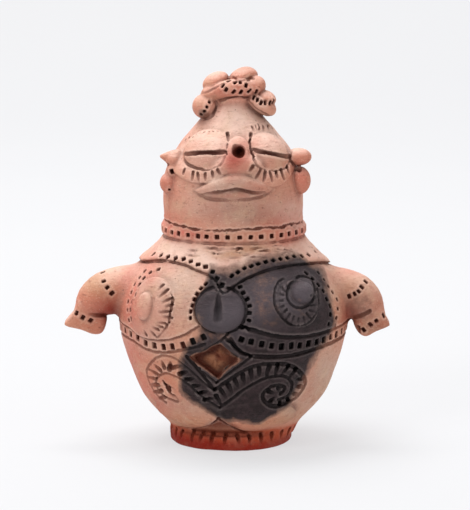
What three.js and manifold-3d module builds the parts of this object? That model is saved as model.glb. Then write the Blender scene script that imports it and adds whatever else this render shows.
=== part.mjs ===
// A hand-built clay figurine in the manner of a dogu: a round-bellied body on a low foot, stub arms,
// a cone-shaped head with closed goggle eyes, and punched and incised ornament. It is one piece of
// fired clay.
// Millimetres, +Z up, the front facing -Y, with the origin at the middle of the foot's flat underside.

import * as THREE from "three";
import { mergeVertices } from "three/addons/utils/BufferGeometryUtils.js";
import Module from "manifold-3d";

const wasm = await Module();
wasm.setup();

// Driving dimensions
const height = 150; // from the underside of the foot to the top of the hair
const stylusWidth = 1.9; // the square-ended stick that punched the dots
const dotDepth = 1.5;
const grooveWidth = 1.6; // the gouge that drew the belts and scrolls
const grooveDepth = 1.0;
const scratchWidth = 1.0; // the point that drew lashes and rays
const scratchDepth = 0.7;
const slitWidth = 1.5; // the opening between closed eyelids
const slitDepth = 2.4;
const yokeRelief = 1.4; // how far the draped collar cloth stands off the chest
const collarRelief = 1.5; // how far the neck ring stands off the neck
const footHeight = 6.0;
const footRadius = 24.2;
const footEdge = 1.4; // rounding between the foot's side and its underside
const armRadius = 9.4;
const handThickness = 11.5;

// The pose, the proportions and the layout of the carving are in hundredths of the height.
const h = (value) => (value * height) / 100;
const flat = (pairs) => pairs.map(([x, z]) => new THREE.Vector2(h(x), h(z)));
const at = (x, y, z) => new THREE.Vector3(h(x), h(y), h(z));

// Turned forms: an outline of radius and height, squeezed front to back by depth, with its axis at
// x = middle.
const torso = turnedForm({
  middle: 0.8,
  depth: 0.88,
  profile: [
    [16.0, 2.6], [17.4, 5.4], [20.5, 8.6], [24.5, 13.5], [27.3, 20], [29.7, 27], [30.8, 34],
    [30.2, 40], [27.6, 45], [23.6, 49.5], [20.0, 53.5], [18.4, 57], [17.9, 61],
  ],
  rings: 10,
  segments: 26,
});
const head = turnedForm({
  middle: 0.6,
  depth: 0.95,
  profile: [
    [17.0, 56], [18.2, 59.2], [18.6, 65], [18.3, 70.3], [17.5, 73.8], [16.1, 76.8], [14.0, 80.1],
    [11.4, 83.4], [8.7, 86.7], [6.0, 90], [3.2, 93],
  ],
  rings: 9,
  segments: 22,
});

function turnedForm({ middle, depth, profile, rings, segments }) {
  const outline = new THREE.SplineCurve(flat(profile)).getSpacedPoints(rings);
  return { middle: h(middle), depth, outline, segments };
}

function radiusAt(form, z) {
  const above = form.outline.findIndex((p) => p.y >= z);
  const [low, high] = [form.outline[above - 1], form.outline[above]];
  return THREE.MathUtils.mapLinear(z, low.y, high.y, low.x, high.x);
}

function solid(geometry) {
  for (const name of ["normal", "uv"]) geometry.deleteAttribute(name);
  const merged = mergeVertices(geometry, 1e-4);
  return new wasm.Manifold(
    new wasm.Mesh({
      numProp: 3,
      vertProperties: new Float32Array(merged.attributes.position.array),
      triVerts: new Uint32Array(merged.index.array),
    }),
  );
}

const joined = (solids) => solids.reduce((whole, piece) => whole.add(piece));

// A turned form as a solid, grown outward by grow.
function turned({ outline, segments, depth, middle }, grow = () => 0) {
  const rim = outline.map((p) => new THREE.Vector2(p.x + grow(p.y), p.y));
  const profile = [new THREE.Vector2(0, rim[0].y), ...rim, new THREE.Vector2(0, rim.at(-1).y)];
  return solid(
    new THREE.LatheGeometry(profile, segments)
      .rotateX(Math.PI / 2)
      .scale(1, depth, 1)
      .translate(middle, 0, 0),
  );
}

// A rod of varying radius bent along a curve, with rounded ends. The radii are spread evenly along it.
function rod(points, radii, [sides, rings]) {
  const curve = new THREE.CatmullRomCurve3(points);
  const girth = new THREE.SplineCurve(radii.map((r, i) => new THREE.Vector2(i, r)));
  const profile = Array.from({ length: rings + 1 }, (_, i) => {
    const t = (1 - Math.cos((Math.PI * i) / rings)) / 2;
    const end = Math.sin((Math.PI * i) / rings);
    return new THREE.Vector2(girth.getPoint(t).y * Math.pow(end, 0.6), t);
  });
  const geometry = new THREE.LatheGeometry(profile, sides);
  const place = geometry.attributes.position;
  const away = new THREE.Vector3(0, -1, 0);
  for (let i = 0; i < place.count; i += 1) {
    const t = THREE.MathUtils.clamp(place.getY(i), 0, 1);
    const across = curve.getTangent(t).cross(away).normalize();
    const out = across.clone().cross(curve.getTangent(t));
    const moved = curve
      .getPoint(t)
      .addScaledVector(across, place.getX(i))
      .addScaledVector(out, place.getZ(i));
    place.setXYZ(i, moved.x, moved.y, moved.z);
  }
  return solid(geometry);
}

// An ellipsoid with half sizes in hundredths, turned by tilt about the viewing direction.
function lump(middle, [a, b, c], tilt = 0, [wide, tall] = [10, 6]) {
  return solid(
    new THREE.SphereGeometry(1, wide, tall)
      .rotateX(Math.PI / 2)
      .scale(h(a), h(b), h(c))
      .rotateY(tilt)
      .translate(middle.x, middle.y, middle.z),
  );
}

// The point and outward normal on a turned form's front.
function frontOf(form, [x, z]) {
  const radius = radiusAt(form, h(z));
  const slope = (radiusAt(form, h(z + 1)) - radiusAt(form, h(z - 1))) / h(2);
  const sine = (h(x) - form.middle) / radius;
  const cosine = Math.sqrt(1 - sine * sine);
  return {
    point: new THREE.Vector3(h(x), -form.depth * radius * cosine, h(z)),
    normal: new THREE.Vector3(sine, -cosine / form.depth, -slope).normalize(),
  };
}

// A low dome on a turned form's front, rise high over a base of half sizes a and b.
const sunk = 0.5;
function dome(form, place, [a, b], rise, [wide, tall] = [14, 7]) {
  const { point, normal } = frontOf(form, place);
  const thick = rise / (1 - sunk);
  const spread = Math.sqrt(1 - sunk * sunk);
  const across = new THREE.Vector3(-normal.y, normal.x, 0).normalize();
  const turn = new THREE.Matrix4().makeBasis(across, normal.clone().cross(across), normal);
  const middle = point.addScaledVector(normal, -thick * sunk);
  return solid(
    new THREE.SphereGeometry(1, wide, tall)
      .rotateX(Math.PI / 2)
      .scale(h(a) / spread, h(b) / spread, thick)
      .applyMatrix4(turn)
      .translate(middle.x, middle.y, middle.z),
  );
}

// A closed outline seen from the front, as a prism from the plane y = front to y = back.
function prism(outline, front, back) {
  return solid(
    new THREE.ExtrudeGeometry(new THREE.Shape(outline), {
      depth: back - front,
      bevelEnabled: false,
    })
      .rotateX(Math.PI / 2)
      .translate(0, back, 0),
  );
}

// Foot: a low drum with a rounded lower edge and a flat underside
const foot = { middle: 0, depth: 1, segments: 26 };

function footSolid() {
  const corner = [0, 1, 2].map((i) => {
    const angle = (i / 2) * (Math.PI / 2);
    return new THREE.Vector2(
      footRadius - footEdge * (1 - Math.sin(angle)),
      footEdge * (1 - Math.cos(angle)),
    );
  });
  return turned({ ...foot, outline: [...corner, new THREE.Vector2(footRadius, footHeight)] });
}

// Collar: a ring round the neck, and the yoke, a V-shaped layer over the shoulders below it
const collar = { low: 56.0, high: 59.2, segments: 26 };

function collarRing() {
  const [low, high] = [h(collar.low), h(collar.high)];
  const middle = (low + high) / 2;
  const neck = radiusAt(torso, middle);
  const face = stylusWidth * 0.75;
  const section = [
    new THREE.Vector2(neck + collarRelief, middle - face),
    new THREE.Vector2(neck + collarRelief, middle + face),
    new THREE.Vector2(neck - collarRelief, high),
    new THREE.Vector2(neck - collarRelief, low),
    new THREE.Vector2(neck + collarRelief, middle - face),
  ];
  return solid(
    new THREE.LatheGeometry(section, collar.segments)
      .rotateX(Math.PI / 2)
      .scale(1, torso.depth, 1)
      .translate(torso.middle, 0, 0),
  );
}

const yokeEdge = [
  [-31, 54.5], [-22.6, 49.9], [-16.4, 50.8], [-8.4, 49.1], [-2.4, 45.2], [3.6, 47.7], [8.6, 49.4],
  [15.4, 50.2], [23.5, 49.2], [32, 54.5],
];

function yoke() {
  const fade = (z) => yokeRelief * THREE.MathUtils.smoothstep(h(57) - z, 0, h(5));
  const edge = new THREE.SplineCurve(flat(yokeEdge)).getSpacedPoints(14);
  const outline = [...edge, ...flat([[32, 58], [-31, 58]])];
  return turned(torso, fade).intersect(prism(outline, -h(40), h(40)));
}

// Arms: stubs that hook downward into flat mitten hands
const arms = [
  {
    bend: [[-22, -0.5, 40.6], [-30, -0.8, 40.8], [-36.5, -1.6, 38.4], [-38.8, -2.6, 33.5]],
    hand: [
      [-41.4, 37.5], [-44.0, 31.3], [-40.5, 30.3], [-36.2, 28.6], [-33.8, 29.6], [-33.3, 32.6],
      [-35, 36.5],
    ],
  },
  {
    bend: [[23, -0.5, 40.4], [30, -0.8, 40.2], [35.5, -1.6, 37.6], [37.6, -2.6, 32.6]],
    hand: [
      [41.0, 35.6], [42.2, 31.2], [40.3, 29.6], [36.6, 27.4], [34.4, 28.2], [32.6, 31.6],
      [34.5, 35.6],
    ],
  },
];

function arm({ bend, hand }) {
  const girth = [0.98, 1.02, 0.98, 0.82].map((part) => part * armRadius);
  const upper = rod(bend.map(([x, y, z]) => at(x, y, z)), girth, [11, 8]);
  const bevel = handThickness * 0.3;
  const inset = flat(hand);
  const middle = inset
    .reduce((sum, p) => sum.add(p), new THREE.Vector2())
    .divideScalar(inset.length);
  inset.forEach((p) => p.sub(middle).multiplyScalar(1 - bevel / 2 / p.length()).add(middle));
  const palm = new THREE.ExtrudeGeometry(new THREE.Shape(inset), {
    depth: handThickness - 2 * bevel,
    bevelThickness: bevel,
    bevelSize: bevel / 2,
    bevelSegments: 1,
  })
    .rotateX(Math.PI / 2)
    .translate(0, handThickness / 2 - bevel - h(2.2), 0);
  return upper.add(solid(palm));
}

// Head: goggle eyes, nose, lips, ears and the knotted hair
const eyes = [
  {
    middle: [-6.9, 79.3],
    half: [6.1, 6.1],
    slit: [[-12.2, 78.1], [-7, 79.4], [-1.6, 79.6]],
    lashes: [[-13.0, 76.6], [-11.0, 74.4], [-6.8, 73.4], [-3.0, 74.6]],
  },
  {
    middle: [10.2, 78.9],
    half: [5.5, 6.0],
    slit: [[5.6, 80.1], [10.2, 79.0], [15.2, 77.2]],
    lashes: [[5.6, 76.2], [7.2, 74.0], [10.4, 73.0], [13.8, 74.0]],
  },
];
const eyeRise = 2.6;
const nose = { middle: [2.0, 78.6], half: [3.4, 6.0], rise: 2.4, pit: [2.0, 79.9] };
const mouth = {
  upper: [[-9.6, 69.4], [-3.8, 70.8], [1.6, 71.9], [6.8, 70.9], [11.6, 69.4]],
  parting: [[-4.0, 69.2], [1.3, 70.0], [8.2, 68.9]],
  brow: [
    [-12.0, 70.3], [-6.8, 71.8], [-2.9, 73.4], [1.8, 74.8], [6.2, 73.1], [9.8, 70.8], [13.2, 69.4],
  ],
};

function lip(points, radii, drop) {
  const path = points.map((place) => {
    const { point, normal } = frontOf(head, place);
    return point.addScaledVector(normal, -drop);
  });
  return rod(path, radii, [6, 6]);
}

function face() {
  const lids = eyes.map(({ middle, half }) => dome(head, middle, half, eyeRise, [12, 6]));
  const bridge = dome(head, nose.middle, nose.half, nose.rise, [10, 6]);
  const upper = lip(mouth.upper, [1.0, 3.0, 4.0, 3.0, 1.0], 1.4);
  return joined([...lids, bridge, upper]);
}

function ears() {
  const [wide, tall] = [8, 5];
  return joined([
    lump(at(-16.7, -1.6, 75.4), [2.6, 2.0, 2.2], 0.4, [wide, tall]),
    lump(at(-16.6, -1.6, 70.2), [2.3, 2.0, 3.6], 0, [wide, tall]),
    lump(at(18.0, -1.6, 76.2), [3.1, 2.2, 2.8], 0, [wide, tall]),
    lump(at(17.9, -1.6, 70.8), [2.8, 2.0, 3.4], 0, [wide, tall]),
  ]);
}

function hair() {
  const roll = [[-6.0, -1.6, 92.8], [-1.5, -3.6, 94.0], [3, -3.6, 94.2], [7.6, -1.4, 93.0]];
  return joined([
    lump(at(0.7, 1.6, 92.4), [6.6, 6.4, 4.6], 0, [10, 6]),
    lump(at(-4.0, 0.6, 96.0), [3.9, 4.0, 2.6], -0.3, [9, 5]),
    lump(at(3.3, 0.6, 97.1), [4.1, 4.2, 3.0], -0.25, [9, 5]),
    rod(roll.map(([x, y, z]) => at(x, y, z)), [1.7, 2.6, 2.7, 2.1].map(h), [8, 7]),
    lump(at(-6.6, -1.4, 89.8), [3.6, 4.4, 3.4], 0.3, [9, 5]),
    lump(at(8.1, -1.4, 90.4), [4.3, 4.4, 2.8], 0.6, [9, 5]),
  ]);
}

// Breasts and the round pendant between them
const breasts = [
  {
    middle: [-21.0, 39.2],
    half: [6.6, 7.2],
    rise: 2.0,
    tip: [-22.7, 39.6],
    tipHalf: [2.9, 3.5],
    tipRise: 3.1,
    rays: [[-17.2, 44.9], [-15.9, 41.5], [-16.4, 37.4], [-19.4, 33.9]],
    dots: [[-19.4, 48.4], [-22.8, 45.9], [-25.2, 41.6], [-26.3, 36.4]],
  },
  {
    middle: [17.0, 41.4],
    half: [6.3, 6.6],
    rise: 1.5,
    tip: [18.1, 43.6],
    tipHalf: [3.6, 3.5],
    tipRise: 5.4,
    rays: [[12.9, 45.6], [12.2, 41.6], [13.8, 38.6], [17.6, 37.4]],
    dots: [[19.3, 48.4], [23.0, 45.0], [25.6, 40.6], [24.6, 34.0]],
  },
];
const pendant = {
  middle: [-2.7, 40.1],
  half: [6.4, 5.5],
  rise: 3.0,
  cleft: [[-3.2, 44.6], [-3.2, 39.0]],
  dots: [[[-6.5, 46.2], [-9.6, 43.0], [-10.6, 38.6]], [[2.4, 46.0], [4.9, 42.4], [5.1, 36.8]]],
};

function chest() {
  const pairs = breasts.flatMap(({ middle, half, rise, tip, tipHalf, tipRise }) => [
    dome(torso, middle, half, rise, [14, 5]),
    dome(torso, tip, tipHalf, tipRise, [10, 6]),
  ]);
  return joined([...pairs, dome(torso, pendant.middle, pendant.half, pendant.rise, [14, 6])]);
}

const trunk = joined([
  turned(torso), footSolid(), turned(head), yoke(), collarRing(), face(), ears(), hair(), chest(),
]);
const body = joined([trunk, ...arms.map(arm)]);

// Carving is laid on the uncarved body by casting rays at it, so it follows every swelling.
const firedClay = new THREE.MeshStandardMaterial({ color: 0xcf9278, roughness: 0.85 });
const skin = meshOf(body, "skin", firedClay);
const trunkSkin = meshOf(trunk, "trunk skin", firedClay);
const caster = new THREE.Raycaster();

function meshOf(manifold, name, material) {
  const { vertProperties, triVerts } = manifold.getMesh();
  const geometry = new THREE.BufferGeometry();
  geometry.setAttribute("position", new THREE.BufferAttribute(vertProperties, 3));
  geometry.setIndex(new THREE.BufferAttribute(triVerts, 1));
  geometry.computeVertexNormals();
  const mesh = new THREE.Mesh(geometry, material);
  mesh.name = name;
  return mesh;
}

function cast(surface, origin, aim) {
  caster.set(origin, aim);
  const [hit] = caster.intersectObject(surface);
  return hit && { point: hit.point, normal: hit.face.normal.clone() };
}

// A place seen from the front (side 1) or from the back (side -1). One that misses is moved inward.
function onSkin(place, side = 1) {
  const origin = new THREE.Vector3(place.x, -side * height, place.y);
  const hit = cast(skin, origin, new THREE.Vector3(0, side, 0));
  return hit ?? onSkin(new THREE.Vector2(place.x * 0.98, place.y), side);
}

// A place at a height and an angle from the front, on the trunk and behind the hands.
const around = (angle, z) =>
  cast(
    trunkSkin,
    new THREE.Vector3(height * Math.sin(angle), -height * Math.cos(angle), z),
    new THREE.Vector3(-Math.sin(angle), Math.cos(angle), 0),
  );

// A cutter follows stations on the skin. It is width wide at the skin and depth deep, with a sharp
// bottom. It stands out of the skin by clear, a share of the step between stations, so that the skin's
// swelling between them is cut too. taper scales its far end.
function cutter(stations, { width, depth, clear, taper = 1 }) {
  const reach = clear * stations[0].point.distanceTo(stations[1].point);
  const top = (width / 2) * (1 + reach / depth);
  const section = [[top, reach], [-top, reach], [0, -depth]];
  const corners = [];
  const faces = [0, 1, 2];
  stations.forEach(({ point, normal }, i) => {
    const ahead = stations[Math.min(i + 1, stations.length - 1)].point;
    const behind = stations[Math.max(i - 1, 0)].point;
    const across = ahead.clone().sub(behind).cross(normal).normalize();
    const scale = THREE.MathUtils.lerp(1, taper, i / (stations.length - 1));
    for (const [side, out] of section) {
      const lifted = point.clone().addScaledVector(normal, out > 0 ? out : out * scale);
      corners.push(lifted.addScaledVector(across, side * scale));
    }
    if (i === 0) return;
    const [a, b] = [3 * (i - 1), 3 * i];
    for (const [k, n] of [[0, 1], [1, 2], [2, 0]]) {
      faces.push(a + k, b + k, b + n, a + k, b + n, a + n);
    }
  });
  const last = corners.length - 3;
  faces.push(last, last + 2, last + 1);
  const geometry = new THREE.BufferGeometry().setFromPoints(corners);
  geometry.setIndex(faces);
  return solid(geometry);
}

// A square pit pressed in with its sides along and across a direction.
function pit({ point, normal }, direction) {
  const across = direction.clone().cross(normal).normalize();
  const basis = new THREE.Matrix4().makeBasis(across, normal, across.clone().cross(normal));
  const rise = dotDepth * 0.6;
  const rim = stylusWidth * Math.SQRT1_2 * (1 + rise / dotDepth);
  return solid(
    new THREE.CylinderGeometry(rim, 0, dotDepth + rise, 4)
      .rotateY(Math.PI / 4)
      .translate(0, (rise - dotDepth) / 2, 0)
      .applyMatrix4(basis)
      .translate(point.x, point.y, point.z),
  );
}

const grooveCut = { width: grooveWidth, depth: grooveDepth, clear: 0.16 };
const scratchCut = { width: scratchWidth, depth: scratchDepth, clear: 0.5 };
const slitCut = { width: slitWidth, depth: slitDepth, clear: 0.5 };
const wedgeCut = { width: grooveWidth, depth: grooveDepth * 1.2, clear: 0.4, taper: 0.5 };
const cleftCut = { width: stylusWidth * 1.4, depth: grooveDepth * 1.8, clear: 0.3 };

function along(points, count) {
  const curve = new THREE.SplineCurve(flat(points));
  return Array.from({ length: count }, (_, i) => {
    const t = i / (count - 1);
    return { place: curve.getPointAt(t), tangent: curve.getTangentAt(t) };
  });
}

// A continuous line through points.
function groove(points, cut, { steps = points.length + 1, side = 1 } = {}) {
  return cutter(along(points, steps).map(({ place }) => onSkin(place, side)), cut);
}

// Pits at even spacing along a line.
function dots(points, count, side = 1) {
  return along(points, count).map(({ place, tangent }) =>
    pit(onSkin(place, side), new THREE.Vector3(tangent.x, 0, tangent.y)),
  );
}

// Strokes across a line at even spacing, each a length long.
function rays(points, count, length, cut) {
  return along(points, count).map(({ place, tangent }) => {
    const half = new THREE.Vector2(-tangent.y, tangent.x).multiplyScalar(length / 2);
    return cutter([place.clone().add(half), place.clone().sub(half)].map((p) => onSkin(p)), cut);
  });
}

// Marks spread evenly round the figurine, one in the middle of each facet of a turned form.
const spread = (segments, mark) =>
  Array.from({ length: segments }, (_, i) => mark(((i + 0.5) * 2 * Math.PI) / segments));

const footStrokes = () =>
  spread(foot.segments, (angle) =>
    cutter([around(angle, footHeight * 0.94), around(angle, footHeight * 0.3)], wedgeCut),
  );

const collarDots = () =>
  spread(collar.segments, (angle) =>
    pit(around(angle, h((collar.low + collar.high) / 2)), new THREE.Vector3(0, 0, 1)),
  );

const yokeDots = () => [
  ...dots([[-21.8, 51.6], [-16.5, 51.9], [-9.8, 51.2], [-4.6, 49.2], [-2.0, 46.7]], 11),
  ...dots([[0.4, 48.7], [3.5, 50.1], [9, 51.4], [14.4, 51.8], [21.0, 51.8]], 11),
  ...dots([[18, 52.4], [0, 50.4], [-18, 52.4]], 11, -1),
];

// Two belts run round from the pendant to the middle of the back, as degrees from the front and height.
const belts = [
  {
    upper: [
      [-20, 35.6], [-29, 32.7], [-41, 31.0], [-66, 33.2], [-105, 33.4], [-145, 31.6], [-180, 33.4],
    ],
    lower: [
      [-16, 31.4], [-26, 29.8], [-42, 27.8], [-66, 29.2], [-105, 29.4], [-145, 27.6], [-180, 29.4],
    ],
    row: [[-17, 33.2], [-24, 31.4], [-36, 29.8], [-49, 29.4], [-66, 31.2], [-82, 31.8]],
    count: 11,
  },
  {
    upper: [
      [3, 36.0], [12, 34.5], [25, 32.7], [39, 32.2], [66, 33.0], [105, 33.4], [145, 31.6],
      [180, 33.4],
    ],
    lower: [
      [0, 33.2], [9, 30.0], [22, 28.1], [39, 28.0], [66, 29.2], [105, 29.4], [145, 27.6],
      [180, 29.4],
    ],
    row: [[4, 33.5], [13, 31.8], [24, 30.7], [38, 30.3], [60, 30.8], [78, 31.4]],
    count: 14,
  },
];

function alongBelt(points, count) {
  const curve = new THREE.SplineCurve(points.map(([angle, z]) => new THREE.Vector2(angle, z)));
  return Array.from({ length: count }, (_, i) => {
    const { x, y } = curve.getPointAt(i / (count - 1));
    return around(THREE.MathUtils.degToRad(x), h(y));
  });
}

const beltCuts = () =>
  belts.flatMap(({ upper, lower, row, count }) => {
    const spots = alongBelt(row, count);
    return [
      cutter(alongBelt(upper, 11), grooveCut),
      cutter(alongBelt(lower, 11), grooveCut),
      ...spots.map((spot, i) => {
        const [from, to] = [spots[Math.max(i - 1, 0)], spots[Math.min(i + 1, count - 1)]];
        return pit(spot, to.point.clone().sub(from.point));
      }),
    ];
  });

// The diamond on the belly and the scrolls either side of it
const diamond = [[-9.2, 27.2], [-3.2, 31.2], [2.0, 27.6], [-3.6, 21.8]];
const scrollEye = [[-16.6, 17.4], [-16.2, 17.2]];
const scrolls = [
  {
    outer: [[-4.5, 18.0], [-12.3, 25.0], [-17.6, 26.8], [-21.6, 23.4], [-21.8, 18.6], [-19.4, 14.8]],
    inner: [
      [-2.8, 13.2], [-7.1, 16.0], [-12.4, 20.4], [-17.0, 21.9], [-19.6, 19.0], [-18.2, 15.6],
      [-14.4, 14.2],
    ],
    middle: [[-5.6, 16.8], [-12.3, 22.9], [-17.4, 24.3], [-20.8, 20.6], [-19.4, 16.6]],
    count: 10,
  },
  {
    outer: [
      [-4.5, 18.0], [4.2, 24.5], [10.9, 25.6], [17.2, 23.6], [19.4, 18.8], [16.0, 14.6],
      [10.6, 13.6], [8.4, 16.8], [12.4, 19.0],
    ],
    inner: [
      [-2.8, 13.2], [3.4, 18.4], [8.4, 21.2], [13.1, 21.8], [15.8, 19.5], [14.6, 15.9],
      [12.0, 15.6],
    ],
    middle: [[-1.6, 17.0], [3.2, 21.3], [8.6, 23.4], [13.6, 23.1], [17.7, 19.8], [15.8, 15.6]],
    count: 10,
  },
];

const bellyCuts = () => [
  ...scrolls.flatMap(({ outer, inner, middle, count }) => [
    groove(outer, grooveCut, { steps: outer.length }),
    groove(inner, grooveCut, { steps: inner.length }),
    ...rays(middle, count, grooveWidth * 1.9, wedgeCut),
  ]),
  prism(flat(diamond), -h(40), 0).subtract(turned(torso, () => -dotDepth)),
  ...dots(scrollEye, 2),
];

// The gap between the two rounded lobes at the bottom of the belly
const notch = [[-3.2, 10.6], [-7.6, 7.0], [-9.5, 4.2], [3.6, 4.2], [0.6, 7.0]];
const lobeCut = () => prism(flat(notch), -h(40), -footRadius * 0.95);

const chestCuts = () => [
  ...breasts.flatMap(({ rays: fan, dots: row }) => [
    ...rays(fan, 7, h(2.4), scratchCut),
    ...dots(row, 6),
  ]),
  ...pendant.dots.flatMap((row) => dots(row, 5)),
  groove(pendant.cleft, cleftCut, { steps: 3 }),
];

function nostril() {
  const { point, normal } = onSkin(flat([nose.pit])[0]);
  const turn = new THREE.Quaternion().setFromUnitVectors(new THREE.Vector3(0, 1, 0), normal);
  return solid(
    new THREE.CylinderGeometry(2.4, 1.4, 5.5, 8)
      .applyQuaternion(turn)
      .translate(point.x, point.y, point.z),
  );
}

const faceCuts = () => [
  ...eyes.flatMap(({ slit, lashes }) => [
    groove(slit, slitCut),
    ...rays(lashes, 5, h(1.7), { ...scratchCut, taper: 0.6 }),
  ]),
  groove(mouth.brow, scratchCut, { steps: 6 }),
  groove(mouth.parting, scratchCut),
  nostril(),
];

// Rows of dots on the upper arms and the hands
const armRows = [
  { row: [[-34.4, 44.6], [-31.6, 38.2]], count: 4 },
  { row: [[29.4, 39.6], [35.2, 42.6]], count: 5 },
  { row: [[-41.4, 34.0], [-36.8, 32.3]], count: 3 },
  { row: [[34.8, 30.2], [40.0, 33.0]], count: 4 },
];
const armDots = () => armRows.flatMap(({ row, count }) => dots(row, count));

// Notches pressed across the coils of hair
const coils = [
  { row: [[-8.6, 88.2], [-5.4, 91.2]], count: 3 },
  { row: [[-3.8, 93.6], [5.2, 92.8]], count: 4 },
  { row: [[6.0, 91.4], [11.0, 89.4]], count: 4 },
];
const hairCuts = () => coils.flatMap(({ row, count }) => rays(row, count, h(1.6), scratchCut));

const cuts = [
  ...footStrokes(), ...collarDots(), ...yokeDots(), ...beltCuts(), ...bellyCuts(), lobeCut(),
  ...chestCuts(), ...faceCuts(), ...armDots(), ...hairCuts(),
];

const group = new THREE.Group();
group.add(meshOf(body.subtract(joined(cuts)), "figurine", firedClay));

export default group;
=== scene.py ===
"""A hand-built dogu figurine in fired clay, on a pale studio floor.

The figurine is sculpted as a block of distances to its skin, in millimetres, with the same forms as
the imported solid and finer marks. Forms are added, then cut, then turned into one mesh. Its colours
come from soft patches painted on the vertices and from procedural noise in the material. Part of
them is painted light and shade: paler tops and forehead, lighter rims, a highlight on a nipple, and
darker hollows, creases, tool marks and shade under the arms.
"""

import math

import bpy
import numpy as np
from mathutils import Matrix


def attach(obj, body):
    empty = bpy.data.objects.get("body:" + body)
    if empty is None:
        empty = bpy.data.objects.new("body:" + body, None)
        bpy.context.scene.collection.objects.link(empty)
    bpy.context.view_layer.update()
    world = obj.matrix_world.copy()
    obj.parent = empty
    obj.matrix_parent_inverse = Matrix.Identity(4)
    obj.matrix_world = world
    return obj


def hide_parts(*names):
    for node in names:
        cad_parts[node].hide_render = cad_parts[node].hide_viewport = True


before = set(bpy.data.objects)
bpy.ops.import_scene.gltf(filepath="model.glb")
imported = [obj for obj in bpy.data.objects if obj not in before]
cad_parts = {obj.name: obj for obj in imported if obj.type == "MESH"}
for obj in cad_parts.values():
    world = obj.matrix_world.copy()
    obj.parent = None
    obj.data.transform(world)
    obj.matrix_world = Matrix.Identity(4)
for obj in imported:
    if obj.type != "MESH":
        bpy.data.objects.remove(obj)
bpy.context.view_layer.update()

HEIGHT = 150.0
P = HEIGHT / 100.0          # one hundredth of the height: the unit of every place on the figurine
STEP = 0.38
MAX_FACES = 194000
RNG = np.random.default_rng(11)
RAY_STEP = 0.35             # the spacing of samples along a ray, in millimetres
GROUND_GAP = 0.02           # the least height of the foot's underside, in millimetres

# Driving sizes, in millimetres
STYLUS = 1.9
DOT_DEPTH = 1.5
SLIT_WIDTH = 0.95
SLIT_DEPTH = 2.2
YOKE_RELIEF = 1.3
COLLAR_RELIEF = 1.5
FOOT_HEIGHT = 6.0
FOOT_RADIUS = 24.2
FOOT_EDGE = 1.4
ARM_RADIUS = 9.4
HAND_THICKNESS = 11.5
DIAMOND_DEPTH = 2.0

# Places (x, z) and heights, in hundredths
PENDANT = (-2.7, 40.1)
NIPPLE = (18.3, 43.7)
NOSE_PIT = (2, 80.1)
COLLAR = (56, 59.2)
NECK_RADIUS = 18.3

TORSO = dict(middle=0.8 * P, depth=0.88, profile=[(16, 2.6), (17.4, 5.4), (20.5, 8.6), (24.5, 13.5),
    (27.3, 20), (29.7, 27), (30.8, 34), (30.2, 40), (27.6, 45), (23.6, 49.5), (20, 53.5), (18.4, 57),
    (17.9, 61)])
HEAD = dict(middle=0.6 * P, depth=0.95, profile=[(17, 56), (18.2, 59.2), (18.6, 65), (18.3, 70.3),
    (17.5, 73.8), (16.1, 76.8), (14, 80.1), (11.4, 83.4), (8.7, 86.7), (6, 90), (3.2, 93)])


# Curves and small mathematics

def catmull(points, per_span=16):
    """A smooth curve through points."""
    p = np.asarray(points, float)
    p = np.vstack([2 * p[0] - p[1], p, 2 * p[-1] - p[-2]])
    t = np.linspace(0, 1, per_span, endpoint=False)[:, None]
    spans = []
    for a, b, c, d in zip(p[:-3], p[1:-2], p[2:-1], p[3:]):
        spans.append(0.5 * (2 * b + (c - a) * t + (2 * a - 5 * b + 4 * c - d) * t ** 2
                            + (3 * b - a - 3 * c + d) * t ** 3))
    return np.vstack(spans + [p[-2:-1]])


def even(points, count):
    """count places at even spacing along a smooth curve through points."""
    curve = catmull(points) if len(points) > 2 else np.asarray(points, float)
    run = np.r_[0, np.cumsum(np.linalg.norm(np.diff(curve, axis=0), axis=1))]
    at = np.linspace(0, run[-1], count)
    return np.stack([np.interp(at, run, curve[:, k]) for k in range(curve.shape[1])], 1)


def arc(centre, across, up, start, end, count):
    """Places on an oval about a centre, by angle from its top."""
    return [(centre[0] + across * math.sin(a), centre[1] + up * math.cos(a))
            for a in np.linspace(start, end, count)]


def unit(v):
    return v / np.maximum(np.linalg.norm(v, axis=-1, keepdims=True), 1e-9)


def smooth_min(a, b, k):
    if k <= 0:
        return np.minimum(a, b)
    mix = np.clip(0.5 + 0.5 * (b - a) / k, 0, 1)
    return b + (a - b) * mix - k * mix * (1 - mix)


def smoothstep(low, high, x):
    t = np.clip((x - low) / (high - low), 0, 1)
    return t * t * (3 - 2 * t)


def polygon_distance(outline, x, z):
    """Distance from points to a closed outline, less than zero inside it."""
    p = np.asarray(outline, float)
    best = np.full(np.broadcast(x, z).shape, 1e9)
    inside = np.zeros(best.shape, bool)
    for (ax, az), (bx, bz) in zip(p, np.roll(p, -1, axis=0)):
        ex, ez = bx - ax, bz - az
        wx, wz = x - ax, z - az
        t = np.clip((wx * ex + wz * ez) / (ex * ex + ez * ez), 0, 1)
        best = np.minimum(best, (wx - t * ex) ** 2 + (wz - t * ez) ** 2)
        crosses = (az > z) != (bz > z)
        side = ex * (z - az) / (ez if ez else 1e-9) + ax
        inside ^= crosses & (x < side)
    return np.sqrt(best) * np.where(inside, -1, 1)


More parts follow.
